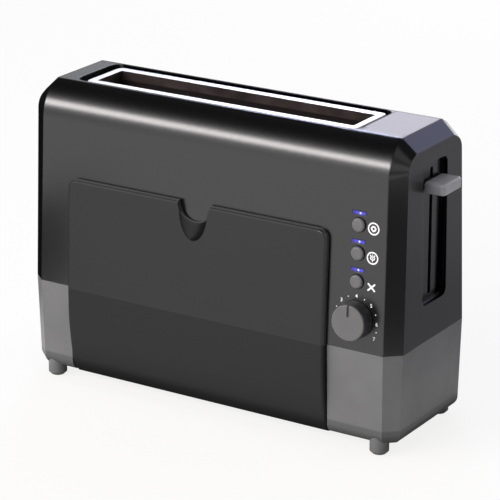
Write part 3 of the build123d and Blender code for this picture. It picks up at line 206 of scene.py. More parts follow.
# Status lights: a lens over each light bar, lit from a bright spot
LENS_SIZE = (12.8 * MM, 2.5 * MM)
LENS_SPOT_X = 0.9 * MM
LENS_SPOT_FADE = (0.5 * MM, 1.3 * MM)
LENS_FADE = (2.6 * MM, 6.6 * MM)
LENS_ROUGHNESS = 0.25
LENS_COLOR = (0.02, 0.018, 0.1)
LENS_SPOT_COLOR = (0.85, 0.85, 1.0)
LENS_MIDDLE_COLOR = (0.07, 0.058, 0.62)
LENS_END_COLOR = (0.025, 0.022, 0.24)
BAR_COLOR = (0.02, 0.018, 0.12)
BAR_ROUGHNESS = 0.3

# Print on the front
PRINT_PROUD = 0.03 * MM
PRINT_THICKNESS = 0.06 * MM
INK_ROUGHNESS = 0.5
INK_BLOT_SCALE = 900.0
INK_SHADES = (0.94, 1.0)
RING_STEPS = 48
BAR_END_STEPS = 8

# Dial scale; digits fill a share of the size of their text
DIAL_ANGLES = (225.0, 180.0, 135.0, 90.0, 45.0, -3.0, -38.0)
DIAL_RADII = (20.2 * MM,) * 6 + (23.0 * MM,)
DIAL_NUMBER_HEIGHT = 3.2 * MM
DIAL_NUMBER_BOLD = 0.04 * MM
DIAL_DOT_RADIUS = 0.5 * MM
DIAL_DOT_STEPS = 16
FONT_DIGIT_SHARE = 0.7

# Icons; the bagel's hole and the ear of grain are shares of the icon's radius
ICON_STEP_X = 13.8 * MM
ICON_DROPS = {"upper_button": 1.0 * MM, "middle_button": 1.7 * MM, "lower_button": 2.5 * MM}
ICON_RADIUS = 5.5 * MM
ICON_LINE = 1.2 * MM
BAGEL_HOLE = (0.47, 0.2)
GRAIN_STEM = 0.55
GRAIN_STEM_WIDTH = 0.12
GRAIN_WIDTH = 0.2
GRAIN_ROOT = Vector((0.2, -0.25))
GRAIN_LEAN = Vector((0.16, 0.24))
GRAIN_ROW_STEP = 0.42
GRAIN_ROWS = 2
CROSS_SIZE = (7.6 * MM, 7.1 * MM)
CROSS_LINE = 1.5 * MM

# Floor
FLOOR_HALF = 6.0
FLOOR_BOUNCE = 0.5
FLOOR_CATCH = 0.15
FLOOR_GLOW = 0.845
FLOOR_GLOW_COLOR = (1.0, 0.995, 0.985, 1.0)

# Cards that only reflections show: upright ones from start to end with a height, and ones just over the floor that
# are painted shadow of the object
CARD_TONES = {"black": 0.005, "dark": 0.17, "grey": 0.35, "pale": 0.43}
CARD_ROUGHNESS = 0.9
UPRIGHT_CARDS = {
    "left_card": ((-0.34, -0.16), (-0.34, 0.3), 0.3, "black"),
    "front_left_card": ((-0.34, -0.34), (-0.34, -0.2), 0.105, "dark"),
    "front_right_card": ((0.28, -0.3), (0.44, -0.1), 0.2, "dark"),
    "right_card": ((0.44, -0.1), (0.48, 0.12), 0.2, "black"),
    "back_card": ((-0.9, 0.6), (-0.08, 0.6), 0.3, "black"),
}
FLOOR_SHADOW_CARDS = {
    "end_card": ((0.24, 0.05), (0.7, 0.42), "grey"),
    "far_end_card": ((0.24, 0.42), (1.0, 1.2), "pale"),
    "under_card": ((-0.2, -0.075), (0.2, 0.1), "dark"),
}
FLOOR_CARD_RISE = 1.0 * MM

# Places that the lamps face
AIM_MIDDLE = Vector((0.0, 0.0, 0.13))
AIM_SHOULDER = Vector((0.0, -0.05, 0.25))
AIM_TOP = Vector((0.0, 0.0, 0.275))
AIM_FACET = Vector((0.17, -0.06, 0.25))

# Narrow light on the lever's end
SPOT_POWER = 38.0
SPOT_ANGLE = math.radians(4.5)
SPOT_BLEND = 0.6
SPOT_RADIUS = 0.05
SPOT_OFFSET = Vector((0.9, 0.1, 0.05))

# World: share of its light by the direction's X and Z
WORLD_TOP_FADE = (0.5, 0.78)
WORLD_RIGHT_FADE = (0.65, -0.15)
WORLD_RIGHT_LEVELS = (0.12, 1.0)
WORLD_LEFT_FADE = (-0.75, -0.45)
WORLD_LEFT_LEVELS = (0.08, 1.0)


def add_object(name, data):
    """New object in the scene."""
    made = bpy.data.objects.new(name, data)
    bpy.context.scene.collection.objects.link(made)
    return made


def aim_object(made, place, target):
    """Put an object at a place, with its -Z to a target and its +Y up."""
    made.rotation_mode = "QUATERNION"
    made.location = place
    made.rotation_quaternion = (target - place).to_track_quat("-Z", "Y")


def make_camera():
    data = bpy.data.cameras.new("photo_camera")
    data.lens = CAMERA_LENS
    data.sensor_width = CAMERA_SENSOR
    data.clip_start, data.clip_end = CAMERA_CLIP
    camera = add_object("photo_camera", data)
    aim_object(camera, CAMERA_PLACE, CAMERA_TARGET)
    bpy.context.scene.camera = camera


def grey(level):
    return (level, level, level)


def shade(color, share):
    return tuple(channel * share for channel in color)


def below(level, drops):
    """Places that lie under a level, or back from it, by a pair of lengths."""
    return tuple(level - drop for drop in drops)


def reach(node, direction):
    """How far a node's solid reaches in a direction."""
    return max(direction.dot(corner.co) for corner in NODES[node].data.vertices)


def add_node(tree, kind, **settings):
    """New shader node; a setting is an input's value where the node has that input, or else a property."""
    made = tree.nodes.new(kind)
    for key, value in settings.items():
        if key in made.inputs:
            made.inputs[key].default_value = value
        else:
            setattr(made, key, value)
    return made


def new_material(name, color, roughness, metallic=0.0, specular=0.5):
    """Principled material with its constant numbers on the shader's own sockets."""
    material = bpy.data.materials.new(name)
    material.use_nodes = True
    tree = material.node_tree
    shader = tree.nodes["Principled BSDF"]
    shader.inputs["Base Color"].default_value = (*color, 1.0)
    shader.inputs["Roughness"].default_value = roughness
    shader.inputs["Metallic"].default_value = metallic
    shader.inputs["Specular IOR Level"].default_value = specular
    return material, tree, shader


def calculate(tree, operation, first, *others):
    """One operation of the Math node over two or more sockets, in turn."""
    for other in others:
        node = add_node(tree, "ShaderNodeMath", operation=operation)
        tree.links.new(first, node.inputs[0])
        tree.links.new(other, node.inputs[1])
        first = node.outputs["Value"]
    return first


def multiply(tree, *values):
    return calculate(tree, "MULTIPLY", *values)


def largest(tree, *values):
    return calculate(tree, "MAXIMUM", *values)


def measure(tree, value, near, far, low, high):
    """Smooth change of a number from low to high while a value goes from near to far."""
    ramp = add_node(tree, "ShaderNodeMapRange", interpolation_type="SMOOTHSTEP")
    for key, number in (("From Min", near), ("From Max", far), ("To Min", low), ("To Max", high)):
        ramp.inputs[key].default_value = number
    tree.links.new(value, ramp.inputs["Value"])
    return ramp.outputs["Result"]


def rising(tree, value, near, far):
    """Mask that goes from 0 to 1 between two values."""
    return measure(tree, value, near, far, 0.0, 1.0)


def falling(tree, value, near, far):
    """Mask that goes from 1 to 0 between two values."""
    return measure(tree, value, near, far, 1.0, 0.0)


def band(tree, value, rise, fall):
    """Mask that rises over one pair of values and falls over the next."""
    return multiply(tree, rising(tree, value, *rise), falling(tree, value, *fall))


def level_by(tree, mask, off, on):
    """Number that is one level where a mask is 0 and another where it is 1."""
    return measure(tree, mask, 0.0, 1.0, off, on)


def outside(tree, mask):
    return level_by(tree, mask, 1.0, 0.0)


def mix(tree, kind, factor, first, second):
    """Socket between two others, or between colours; the kind is the Mix node's data type."""
    node = add_node(tree, "ShaderNodeMix", data_type=kind)
    tree.links.new(factor, node.inputs["Factor"])
    first_index, second_index, result_index = MIX_SOCKETS[kind]
    for index, source in ((first_index, first), (second_index, second)):
        if isinstance(source, tuple):
            node.inputs[index].default_value = (*source, 1.0)
        else:
            tree.links.new(source, node.inputs[index])
    return node.outputs[result_index]


def mix_colors(tree, factor, first, second):
    return mix(tree, "RGBA", factor, first, second)


def surface(tree, output):
    """Texture coordinate: the surface's place or normal, from the object itself, or the world's direction."""
    return add_node(tree, "ShaderNodeTexCoord").outputs[output]


def vector_math(tree, operation, vector, other=None, output="Vector"):
    """Vector Math node on a socket and a constant vector."""
    node = add_node(tree, "ShaderNodeVectorMath", operation=operation)
    tree.links.new(vector, node.inputs[0])
    if other is not None:
        node.inputs[1].default_value = other
    return node.outputs[output]


def distance_along(tree, direction):
    """Distance of the surface along a direction."""
    return vector_math(tree, "DOT_PRODUCT", surface(tree, "Object"), direction, "Value")


def facing(tree, direction):
    """How far the surface faces a direction."""
    return vector_math(tree, "DOT_PRODUCT", surface(tree, "Normal"), direction, "Value")


def distance_from(tree, centre, keep=(1.0, 1.0, 1.0)):
    """Distance of the surface from a point, or from an axis through it along the axis that isn't kept."""
    moved = vector_math(tree, "SUBTRACT", surface(tree, "Object"), centre)
    kept = vector_math(tree, "MULTIPLY", moved, keep)
    return vector_math(tree, "LENGTH", kept, output="Value")


def noise(tree, scale, detail=3.0, stretch=(1.0, 1.0, 1.0)):
    """Noise on the object's own coordinates, stretched along its axes."""
    mapping = add_node(tree, "ShaderNodeMapping", Scale=stretch)
    tree.links.new(surface(tree, "Object"), mapping.inputs["Vector"])
    texture = add_node(tree, "ShaderNodeTexNoise", Scale=scale, Detail=detail)
    tree.links.new(mapping.outputs["Vector"], texture.inputs["Vector"])
    return texture.outputs["Fac"]


def fine_grain(tree):
    return noise(tree, GRAIN_SCALE, GRAIN_DETAIL)


def spread(tree, value, low, high):
    """Map a noise value to a range of numbers."""
    ramp = add_node(tree, "ShaderNodeMapRange")
    ramp.inputs["From Min"].default_value, ramp.inputs["From Max"].default_value = NOISE_RANGE
    ramp.inputs["To Min"].default_value = low
    ramp.inputs["To Max"].default_value = high
    tree.links.new(value, ramp.inputs["Value"])
    return ramp.outputs["Result"]


def tint(tree, value, color, low, high):
    """Map a noise value to a range of shades of a colour."""
    ramp = add_node(tree, "ShaderNodeValToRGB")
    for element, position, share in zip(ramp.color_ramp.elements, NOISE_RANGE, (low, high)):
        element.position = position
        element.color = (*shade(color, share), 1.0)
    tree.links.new(value, ramp.inputs["Fac"])
    return ramp.outputs["Color"]


def clouded(tree, color, vary, scale=CLOUD_SCALE):
    """Colour with faint clouds."""
    return tint(tree, noise(tree, scale, CLOUD_DETAIL), color, 1 - vary, 1 + vary)


def edge_normal(tree, radius, samples=EDGE_SAMPLES):
    """Normal that makes sharp edges look round."""
    return add_node(tree, "ShaderNodeBevel", Radius=radius, samples=samples).outputs["Normal"]


def grained(tree, normal, grain, strength):
    """Normal with a fine grain on top."""
    bump = add_node(tree, "ShaderNodeBump", Strength=strength, Distance=GRAIN_DEPTH)
    tree.links.new(grain, bump.inputs["Height"])
    tree.links.new(normal, bump.inputs["Normal"])
    return bump.outputs["Normal"]


def soft_edges(tree, shader, radius, grain, strength):
    """Round the look of sharp edges, with a fine grain in the surface on top."""
    normal = grained(tree, edge_normal(tree, radius), grain, strength)
    tree.links.new(normal, shader.inputs["Normal"])


def moulded_plastic(name, color, roughness, specular=0.5, grain=0.12, edge=PLASTIC_EDGE, paint=None):
    """Moulded plastic: fine grain, faint cloudy colour and uneven gloss; paint can change the colour."""
    material, tree, shader = new_material(name, color, roughness, specular=specular)
    cloud = clouded(tree, color, CLOUD_VARY)
    if paint is not None:
        cloud = paint(tree, cloud)
    tree.links.new(cloud, shader.inputs["Base Color"])
    gloss = spread(tree, noise(tree, GLOSS_SCALE), roughness - GLOSS_VARY, roughness + GLOSS_VARY)
    tree.links.new(gloss, shader.inputs["Roughness"])
    soft_edges(tree, shader, edge, fine_grain(tree), grain)
    return material


def dark_foot(tree, color):
    """Colour of the base, with painted shade where it turns under."""
    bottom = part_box("base_shell")[0].z
    rise = rising(tree, distance_along(tree, UP), *(bottom + height for height in BASE_FOOT_RISE))
    return mix_colors(tree, rise, shade(BASE_COLOR, BASE_FOOT_SHADE), color)


def satin_black(name, painted_shade=None, soft=None):
    """Painted satin shell with faint upright streaks in its gloss; masks give a part darkened as painted shade,
    and a soft edge.

    Black that counts as metal reflects next to nothing, so the painted shade goes to the Metallic socket.
    """
    material, tree, shader = new_material(name, SHELL_COLOR, SHELL_ROUGHNESS, specular=SHELL_SPECULAR)
    cloud = clouded(tree, SHELL_COLOR, FAINT_VARY, SHELL_CLOUD_SCALE)
    tree.links.new(cloud, shader.inputs["Base Color"])
    streaks = noise(tree, SHELL_STREAK_SCALE, stretch=SHELL_STREAK_STRETCH)
    tree.links.new(spread(tree, streaks, *SHELL_STREAK_GLOSS), shader.inputs["Roughness"])
    if painted_shade is not None:
        tree.links.new(painted_shade(tree), shader.inputs["Metallic"])
    normal = edge_normal(tree, SHELL_EDGE)
    if soft is not None:
        wide = edge_normal(tree, TOP_EDGE_SOFT, TOP_EDGE_SAMPLES)
        normal = mix(tree, "VECTOR", soft(tree), normal, wide)
    grain = noise(tree, SHELL_GRAIN_SCALE, GRAIN_DETAIL)
    tree.links.new(grained(tree, normal, grain, SHELL_GRAIN), shader.inputs["Normal"])
    return material


def top_front_edge(tree):
    """Front edge of the flat top, right of the slot."""
    stretch = band(tree, distance_along(tree, ALONG), TOP_EDGE_START, below(WRAP_HIGH.x, TOP_EDGE_STOP))
    top = rising(tree, distance_along(tree, UP), *below(WRAP_HIGH.z, TOP_EDGE_DROP))
    front = falling(tree, distance_along(tree, ACROSS), *TOP_EDGE_BACK)
    return multiply(tree, stretch, top, front)


def well_edges(tree):
    """Painted shade on the edges of the flat top behind the slot's well and at its right end."""
    low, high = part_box("slot_trim")
    middle = (low.y + high.y) / 2
    right = high.x + WELL_RIGHT_GAP
    back = middle + WELL_HALF_WIDTH
    across = distance_along(tree, ACROSS)
    near_top = rising(tree, distance_along(tree, UP), *below(WRAP_HIGH.z, WELL_EDGE_DROP))
    behind = rising(tree, across, back - WELL_EDGE_FADE, back)
    start = (right - 2 * WELL_EDGE_FADE, right - WELL_EDGE_FADE)
    stop = (right + WELL_EDGE - WELL_EDGE_FADE, right + WELL_EDGE)
    front = rising(tree, across, *below(middle, WELL_EDGE_FRONT))
    side = multiply(tree, band(tree, distance_along(tree, ALONG), start, stop), front)
    return multiply(tree, largest(tree, behind, side), near_top)


def track_far_side(tree):
    """Painted shade on the side of the sunk lever track that turns away from the front, and on its foot."""
    low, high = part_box("lever_knob")
    centre = (low.y + high.y) / 2
    middle = (low.z + high.z) / 2
    near_edge = centre - TRACK_HALF_WIDTH
    far_edge = centre + TRACK_HALF_WIDTH
    top = middle + TRACK_RISE
    across = distance_along(tree, ACROSS)
    upward = distance_along(tree, UP)
    side = rising(tree, across, *below(far_edge, TRACK_SHADE))
    foot = measure(tree, upward, *below(middle, TRACK_FOOT), 0.0, TRACK_FOOT_SHADE_SHARE)
    face = reach("right_end_cap", TRACK_OUT)
    sunk = rising(tree, distance_along(tree, TRACK_OUT), *below(face, TRACK_SUNK))
    far_rim = tuple(far_edge + width for width in TRACK_RIM)
    wide = band(tree, across, (near_edge, near_edge + TRACK_FADE), far_rim)
    tall = band(tree, upward, below(middle, TRACK_FALL), (top, top + TRACK_FADE))
    return multiply(tree, largest(tree, side, foot), sunk, wide, tall)


def tray_plastic():
    """Black plastic with painted shade below the crease, in the scoop and along the front edge, painted light on
    the top and the right side, and a painted highlight on the rim round the notch.
    """
    upper = grey(TRAY_UPPER)
    material, tree, shader = new_material("tray_black", upper, TRAY_FLAT_ROUGHNESS, specular=SOFT_SPECULAR)
    low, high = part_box("serving_tray")
    along = distance_along(tree, ALONG)
    height = distance_along(tree, UP)
    upward = facing(tree, UP)

    # Where the parts of the tray lie
    above = rising(tree, height, WRAP_LOW.z - TRAY_CREASE_FADE, WRAP_LOW.z + TRAY_CREASE_FADE)
    face = reach("serving_tray", FRONT_OUT)
    sunk = rising(tree, distance_along(tree, FRONT_OUT), *below(face, TRAY_EDGE_DROP))
    sunk_above = multiply(tree, sunk, above)
    notch = Vector(((low.x + high.x) / 2, 0.0, high.z + TRAY_NOTCH_RISE))
    off_notch = rising(tree, distance_from(tree, notch, ALONG + UP), *TRAY_NOTCH_RIM)
    in_crown = rising(tree, height, *below(high.z, TRAY_CROWN_DROP))
    at_side = rising(tree, along, *below(high.x, TRAY_SIDE_REACH))
    near_end = rising(tree, along, *below(high.x, TRAY_CORNER_REACH))
    near_top = rising(tree, height, *below(high.z, TRAY_CORNER_REACH))
    corner = multiply(tree, near_end, near_top)

    # Which way they turn
    turned = rising(tree, facing(tree, TRAY_SCOOP_AXIS), *TRAY_SCOOP_TURN)
    level = rising(tree, upward, *TRAY_LEVEL_TURN)
    rightward = rising(tree, facing(tree, ALONG), *TRAY_SIDE_TURN)
    curved = falling(tree, facing(tree, FRONT_OUT), *TRAY_CURVED_TURN)
    bent = multiply(tree, rising(tree, upward, *TRAY_BENT_TURN), outside(tree, level))
    # Front edge of the top, which gets painted shade
    edge = multiply(tree, bent, in_crown, off_notch, outside(tree, corner))

    # Colour, with painted shade, painted light and a painted highlight
    # Painted shade below the crease
    flat = mix_colors(tree, above, grey(TRAY_LOWER_SHADE), clouded(tree, upper, FAINT_VARY))
    # Painted shade in the scoop
    scoop_shade = mix_colors(tree, turned, grey(TRAY_SCOOP_SHADE), grey(TRAY_SCOOP_DEEP_SHADE))
    # Painted highlight on the rim round the notch
    scoop = mix_colors(tree, off_notch, grey(TRAY_RIM_HIGHLIGHT), scoop_shade)
    # Painted light on the right side; the top gets it in the next line
    lit_sides = mix_colors(tree, multiply(tree, rightward, at_side), scoop, grey(TRAY_PAINTED_LIGHT))
    front = mix_colors(tree, sunk_above, flat, lit_sides)
    top = mix_colors(tree, multiply(tree, level, in_crown), front, grey(TRAY_PAINTED_LIGHT))
    tree.links.new(mix_colors(tree, edge, top, grey(TRAY_FRONT_EDGE_SHADE)), shader.inputs["Base Color"])

    # Shine; the Metallic socket adds painted shade in the scoop and on the front edge, as black metal reflects
    # next to nothing
    rough = level_by(tree, sunk_above, TRAY_FLAT_ROUGHNESS, TRAY_SUNK_ROUGHNESS)
    smooth = level_by(tree, multiply(tree, corner, curved), 1.0, TRAY_CORNER_ROUGH_SHARE)
    tree.links.new(multiply(tree, rough, smooth), shader.inputs["Roughness"])
    scooped = multiply(tree, sunk_above, turned, off_notch, outside(tree, in_crown))
    scoop_shade_share = level_by(tree, scooped, 0.0, TRAY_SCOOP_SHADE_METAL)
    edge_shade_share = level_by(tree, edge, 0.0, TRAY_FRONT_EDGE_SHADE_METAL)
    tree.links.new(largest(tree, scoop_shade_share, edge_shade_share), shader.inputs["Metallic"])
    soft_edges(tree, shader, PLASTIC_EDGE, fine_grain(tree), TRAY_GRAIN)
    return material


def brushed_metal(name, color, roughness, stretch=BRUSH_ALONG):
    """Metal with fine lines along one axis."""
    material, tree, shader = new_material(name, color, roughness, metallic=1.0)
    lines = noise(tree, BRUSH_SCALE, stretch=stretch)
    tree.links.new(tint(tree, lines, color, *BRUSH_SHADES), shader.inputs["Base Color"])
    gloss = spread(tree, lines, *(roughness + more for more in BRUSH_ROUGHER))
    tree.links.new(gloss, shader.inputs["Roughness"])
    soft_edges(tree, shader, METAL_EDGE, lines, BRUSH_GRAIN)
    return material


def trim_metal():
    """Bright metal on top, with painted shade at its right and front rims; the walls in the slot are dark brown
    with patchy stains, and painted shade darkens them further down.
    """
    material, tree, shader = new_material("slot_trim", TRIM_BRIGHT, TRIM_ROUGHNESS)
    low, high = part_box("slot_trim")
    right = high.x - TRIM_RIM_SHADE_RIGHT
    front = low.y + TRIM_RIM_SHADE_FRONT
    off_right = falling(tree, distance_along(tree, ALONG), right, right + TRIM_RIM_SHADE_FADE)
    off_front = rising(tree, distance_along(tree, ACROSS), front - TRIM_RIM_SHADE_FADE, front)
    inside = multiply(tree, off_right, off_front)
    shine = multiply(tree, rising(tree, facing(tree, UP), *TRIM_TOP_TURN), inside)
    stains = tint(tree, noise(tree, TRIM_STAIN_SCALE, CLOUD_DETAIL), TRIM_WALL_BROWN, *TRIM_STAIN_SHADES)
    # Painted shade deepening down the walls
    lit = rising(tree, distance_along(tree, UP), *below(high.z, TRIM_WALL_SHADE_DROP))
    walls = mix_colors(tree, lit, shade(TRIM_WALL_BROWN, TRIM_DEEP_SHADE), stains)
    rim_shade = mix_colors(tree, inside, TRIM_RIM_SHADE, walls)
    tree.links.new(mix_colors(tree, shine, rim_shade, TRIM_BRIGHT), shader.inputs["Base Color"])
    tree.links.new(shine, shader.inputs["Metallic"])
    tree.links.new(edge_normal(tree, METAL_EDGE), shader.inputs["Normal"])
    return material


def mica_board():
    """Layered mica sheet with flaky colour; its own brown is darkened further as painted shade of the deep slot.
    """
    material, tree, shader = new_material("mica", MICA_COLOR, MICA_ROUGHNESS)
    flakes = noise(tree, MICA_SCALE, MICA_DETAIL)
    tree.links.new(tint(tree, flakes, MICA_COLOR, *MICA_SHADES), shader.inputs["Base Color"])
    soft_edges(tree, shader, MICA_EDGE, flakes, MICA_GRAIN)
    return material


def light_bar():
    """Dark blue light guide behind the lens."""
    return new_material("light_blue", BAR_COLOR, BAR_ROUGHNESS)[0]


def light_lens():
    """Lit lens with a white spot, fading along its length."""
    material, tree, shader = new_material("light_lens", LENS_COLOR, LENS_ROUGHNESS)
    away = distance_from(tree, ALONG * LENS_SPOT_X)
    blue = mix_colors(tree, rising(tree, away, *LENS_FADE), LENS_MIDDLE_COLOR, LENS_END_COLOR)
    lit = mix_colors(tree, falling(tree, away, *LENS_SPOT_FADE), blue, LENS_SPOT_COLOR)
    tree.links.new(lit, shader.inputs["Emission Color"])
    shader.inputs["Emission Strength"].default_value = 1.0
    return material


def capped_plastic(name, node, color, side, fade, roughness, groove=None):
    """Grey face on a dark side: the colour changes a little below the face; a mask can darken a groove."""
    material, tree, shader = new_material(name, color, roughness, specular=SOFT_SPECULAR)
    upper = rising(tree, distance_along(tree, FRONT_OUT), *below(reach(node, FRONT_OUT), fade))
    paint = mix_colors(tree, upper, side, clouded(tree, color, FAINT_VARY, CAP_CLOUD_SCALE))
    if groove is not None:
        paint = mix_colors(tree, multiply(tree, groove(tree), upper), paint, CAP_GROOVE_COLOR)
    tree.links.new(paint, shader.inputs["Base Color"])
    soft_edges(tree, shader, KNOB_EDGE, fine_grain(tree), CAP_GRAIN)
    return material


def dial_groove(tree):
    """Pointer groove from inside the dial's face to its rim."""
    x, z = dial_centre()
    left = below(x, DIAL_GROOVE_HALF)
    right = tuple(x + half for half in reversed(DIAL_GROOVE_HALF))
    wide = band(tree, distance_along(tree, ALONG), left, right)
    start = rising(tree, distance_along(tree, UP), *(z + rise for rise in DIAL_GROOVE_START))
    return multiply(tree, wide, start)


def printed_ink(name, color, glow=0.0):
    """Thin printed ink, a little uneven; glow gives it painted light."""
    material, tree, shader = new_material(name, color, INK_ROUGHNESS)
    blot = noise(tree, INK_BLOT_SCALE, GRAIN_DETAIL)
    tree.links.new(tint(tree, blot, color, *INK_SHADES), shader.inputs["Base Color"])
    shader.inputs["Emission Color"].default_value = (*WHITE, 1.0)
    shader.inputs["Emission Strength"].default_value = glow
    return material


def make_materials():
    """Finishes by slot, and by the name of the few nodes that differ from their slot's finish."""
    base = {"color": BASE_COLOR, "roughness": 0.42, "specular": SOFT_SPECULAR, "grain": 0.06}
    materials = {
        "black_shell": satin_black("satin_black"),
        "body_wrap": satin_black("wrap_black", painted_shade=well_edges, soft=top_front_edge),
        "right_end_cap": satin_black("right_cap_black", painted_shade=track_far_side),
        "base_shell": moulded_plastic("base_shell_grey", **base, paint=dark_foot),
        "grey_base": moulded_plastic("grey_base", **base),
        "tray_black": tray_plastic(),
        "slot_trim": trim_metal(),
        "bright_trim": brushed_metal("bright_trim", TRIM_BRIGHT, roughness=0.28),
        "control_grey": moulded_plastic(
            "control_grey", (0.25, 0.246, 0.258), roughness=0.36, grain=0.06, edge=KNOB_EDGE
        ),
        "dial_black": capped_plastic(
            "dial_black", "dial_knob", color=(0.165, 0.162, 0.161), side=(0.034, 0.034, 0.037),
            fade=DIAL_FACE_FADE, roughness=0.4, groove=dial_groove,
        ),
        "steel": brushed_metal("steel", (0.5, 0.49, 0.48), roughness=0.3, stretch=BRUSH_UP),
        "board": moulded_plastic("board", (0.03, 0.1, 0.045), roughness=0.45),
        "mica": mica_board(),
        # The heater's dark colour is partly its own and partly painted shade of the deep slot
        "heater": brushed_metal("heater", (0.06, 0.045, 0.035), roughness=0.45),
        "magnet_copper": brushed_metal(
            "magnet_copper", (0.6, 0.28, 0.14), roughness=0.35, stretch=BRUSH_COIL
        ),
        "light_blue": light_bar(),
        "light_lens": light_lens(),
        "carrier": moulded_plastic("carrier", grey(0.06), roughness=0.5),
        "rubber_grey": moulded_plastic("rubber_grey", grey(0.16), roughness=0.6, specular=0.3),
        # The white ink's glow is painted light, so the numbers stay bright in the dial's shade
        "ink": printed_ink("ink", grey(0.95), glow=0.25),
        "dark_ink": printed_ink("dark_ink", grey(0.008)),
    }
    # The buttons' dark sides are painted shade
    button = capped_plastic(
        "button_grey", "upper_button", color=(0.17, 0.166, 0.168), side=(0.03, 0.03, 0.031),
        fade=BUTTON_FACE_FADE, roughness=0.36,
    )
    for node in ("upper_button", "middle_button", "lower_button"):
        materials[node] = button
    # Reflectors, bread guides and chute: near-black steel as painted shade of the deep slot
    dark_steel = brushed_metal("dark_steel", (0.04, 0.034, 0.03), roughness=0.5, stretch=BRUSH_UP)
    for node in ("front_reflector", "back_reflector", "front_bread_guide", "back_bread_guide", "exit_chute"):
        materials[node] = dark_steel
    return materials


def dress_frame(materials):
    """Give every fixed node the finish of its own name or else of its slot."""
    for row in frame["record"]["subparts"]:
        mesh = NODES[row["node"]].data
        mesh.materials.clear()
        mesh.materials.append(materials.get(row["node"], materials[row["material_slot"]]))


def front_place(x, z, out=0.0):
    """Matrix on the sloped front face at x and height z: own X along it, own Y up it, own Z out of it."""
    y = WRAP_LOW.y + FRONT_DRAFT * (z - WRAP_LOW.z)
    turn = Matrix((ALONG, FRONT_OUT.cross(ALONG), FRONT_OUT)).transposed().to_4x4()
    return Matrix.Translation(Vector((x, y, z)) + FRONT_OUT * out) @ turn


def mesh_piece(name, build, place, material, body):
    """New piece from a mesh builder, set at a place and riding on a body."""
    shape = bmesh.new()
    build(shape)
    bmesh.ops.recalc_face_normals(shape, faces=shape.faces)
    mesh = bpy.data.meshes.new(name)
    shape.to_mesh(mesh)
    shape.free()
    mesh.materials.append(material)
    piece = add_object(name, mesh)
    piece.matrix_world = place
    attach(piece, body)


def prism(shape, outline, thickness):
    """Solid from a closed flat outline, standing on z 0."""
    low = [shape.verts.new((x, y, 0.0)) for x, y in outline]
    high = [shape.verts.new((x, y, thickness)) for x, y in outline]
    shape.faces.new(low)
    shape.faces.new(high)
    for here in range(len(low)):
        after = (here + 1) % len(low)
        shape.faces.new((low[here], low[after], high[after], high[here]))


def circle_points(radius, centre=(0.0, 0.0), steps=RING_STEPS):
    turns = [2 * math.pi * step / steps for step in range(steps)]
    return [(centre[0] + radius * math.cos(turn), centre[1] + radius * math.sin(turn)) for turn in turns]


def ring(shape, outer, inner, thickness):
    """Flat ring, standing on z 0."""
    loops = []
    for radius, height in ((outer, 0.0), (outer, thickness), (inner, thickness), (inner, 0.0)):
        loops.append([shape.verts.new((x, y, height)) for x, y in circle_points(radius)])
    for lower, upper in zip(loops, loops[1:] + loops[:1]):
        for here in range(RING_STEPS):
            after = (here + 1) % RING_STEPS
            shape.faces.new((lower[here], lower[after], upper[after], upper[here]))


def bar_points(start, end, width):
    """Outline of a straight bar with round ends."""
    start, end = Vector(start), Vector(end)
    heading = math.atan2(end.y - start.y, end.x - start.x)
    points = []
    for centre, first in ((end, heading - math.pi / 2), (start, heading + math.pi / 2)):
        for step in range(BAR_END_STEPS + 1):
            turn = first + math.pi * step / BAR_END_STEPS
            points.append((centre.x + width / 2 * math.cos(turn), centre.y + width / 2 * math.sin(turn)))
    return points


def icon_place(button):
    low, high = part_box(button)
    z = (low.z + high.z) / 2 - ICON_DROPS[button]
    return front_place((low.x + high.x) / 2 + ICON_STEP_X, z, PRINT_PROUD)


def icon_ring(shape):
    ring(shape, ICON_RADIUS, ICON_RADIUS - ICON_LINE, PRINT_THICKNESS)


def bagel(shape):
    outer, inner = (share * ICON_RADIUS for share in BAGEL_HOLE)
    icon_ring(shape)
    ring(shape, outer, inner, PRINT_THICKNESS)


def grain_ear(shape):
    icon_ring(shape)
    stem = Vector((0.0, GRAIN_STEM)) * ICON_RADIUS
    prism(shape, bar_points(-stem, stem, GRAIN_STEM_WIDTH * ICON_RADIUS), PRINT_THICKNESS)
    for row in range(GRAIN_ROWS):
        for side in (-1, 1):
            root = Vector((side * GRAIN_ROOT.x, GRAIN_ROOT.y + GRAIN_ROW_STEP * row)) * ICON_RADIUS
            tip = root + Vector((side * GRAIN_LEAN.x, GRAIN_LEAN.y)) * ICON_RADIUS
            prism(shape, bar_points(root, tip, GRAIN_WIDTH * ICON_RADIUS), PRINT_THICKNESS)


def cross(shape):
    """Two crossed bars; the second is thinner, so that their faces don't lie in one plane."""
    half_x, half_y = ((size - CROSS_LINE) / 2 for size in CROSS_SIZE)
    prism(shape, bar_points((-half_x, -half_y), (half_x, half_y), CROSS_LINE), PRINT_THICKNESS)
    prism(shape, bar_points((-half_x, half_y), (half_x, -half_y), CROSS_LINE), PRINT_THICKNESS / 2)


def make_icons(ink):
    """Printed signs right of the buttons: a bagel, an ear of grain in a ring and a cross."""
    for button, build in (("upper_button", bagel), ("middle_button", grain_ear), ("lower_button", cross)):
        mesh_piece(f"{button}_icon", build, icon_place(button), ink, "housing")


def make_lenses(material):
    """Thin lens with round ends over each status light."""
    length, width = LENS_SIZE
    half = (length - width) / 2

    def lens(shape):
        prism(shape, bar_points((-half, 0.0), (half, 0.0), width), PRINT_THICKNESS)

    low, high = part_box("status_lights")
    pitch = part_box("upper_button")[0].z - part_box("middle_button")[0].z
    for step, place in ((-1, "lower"), (0, "middle"), (1, "upper")):
        spot = front_place((low.x + high.x) / 2, (low.z + high.z) / 2 + step * pitch, PRINT_PROUD)
        mesh_piece(f"{place}_light_lens", lens, spot, material, "housing")


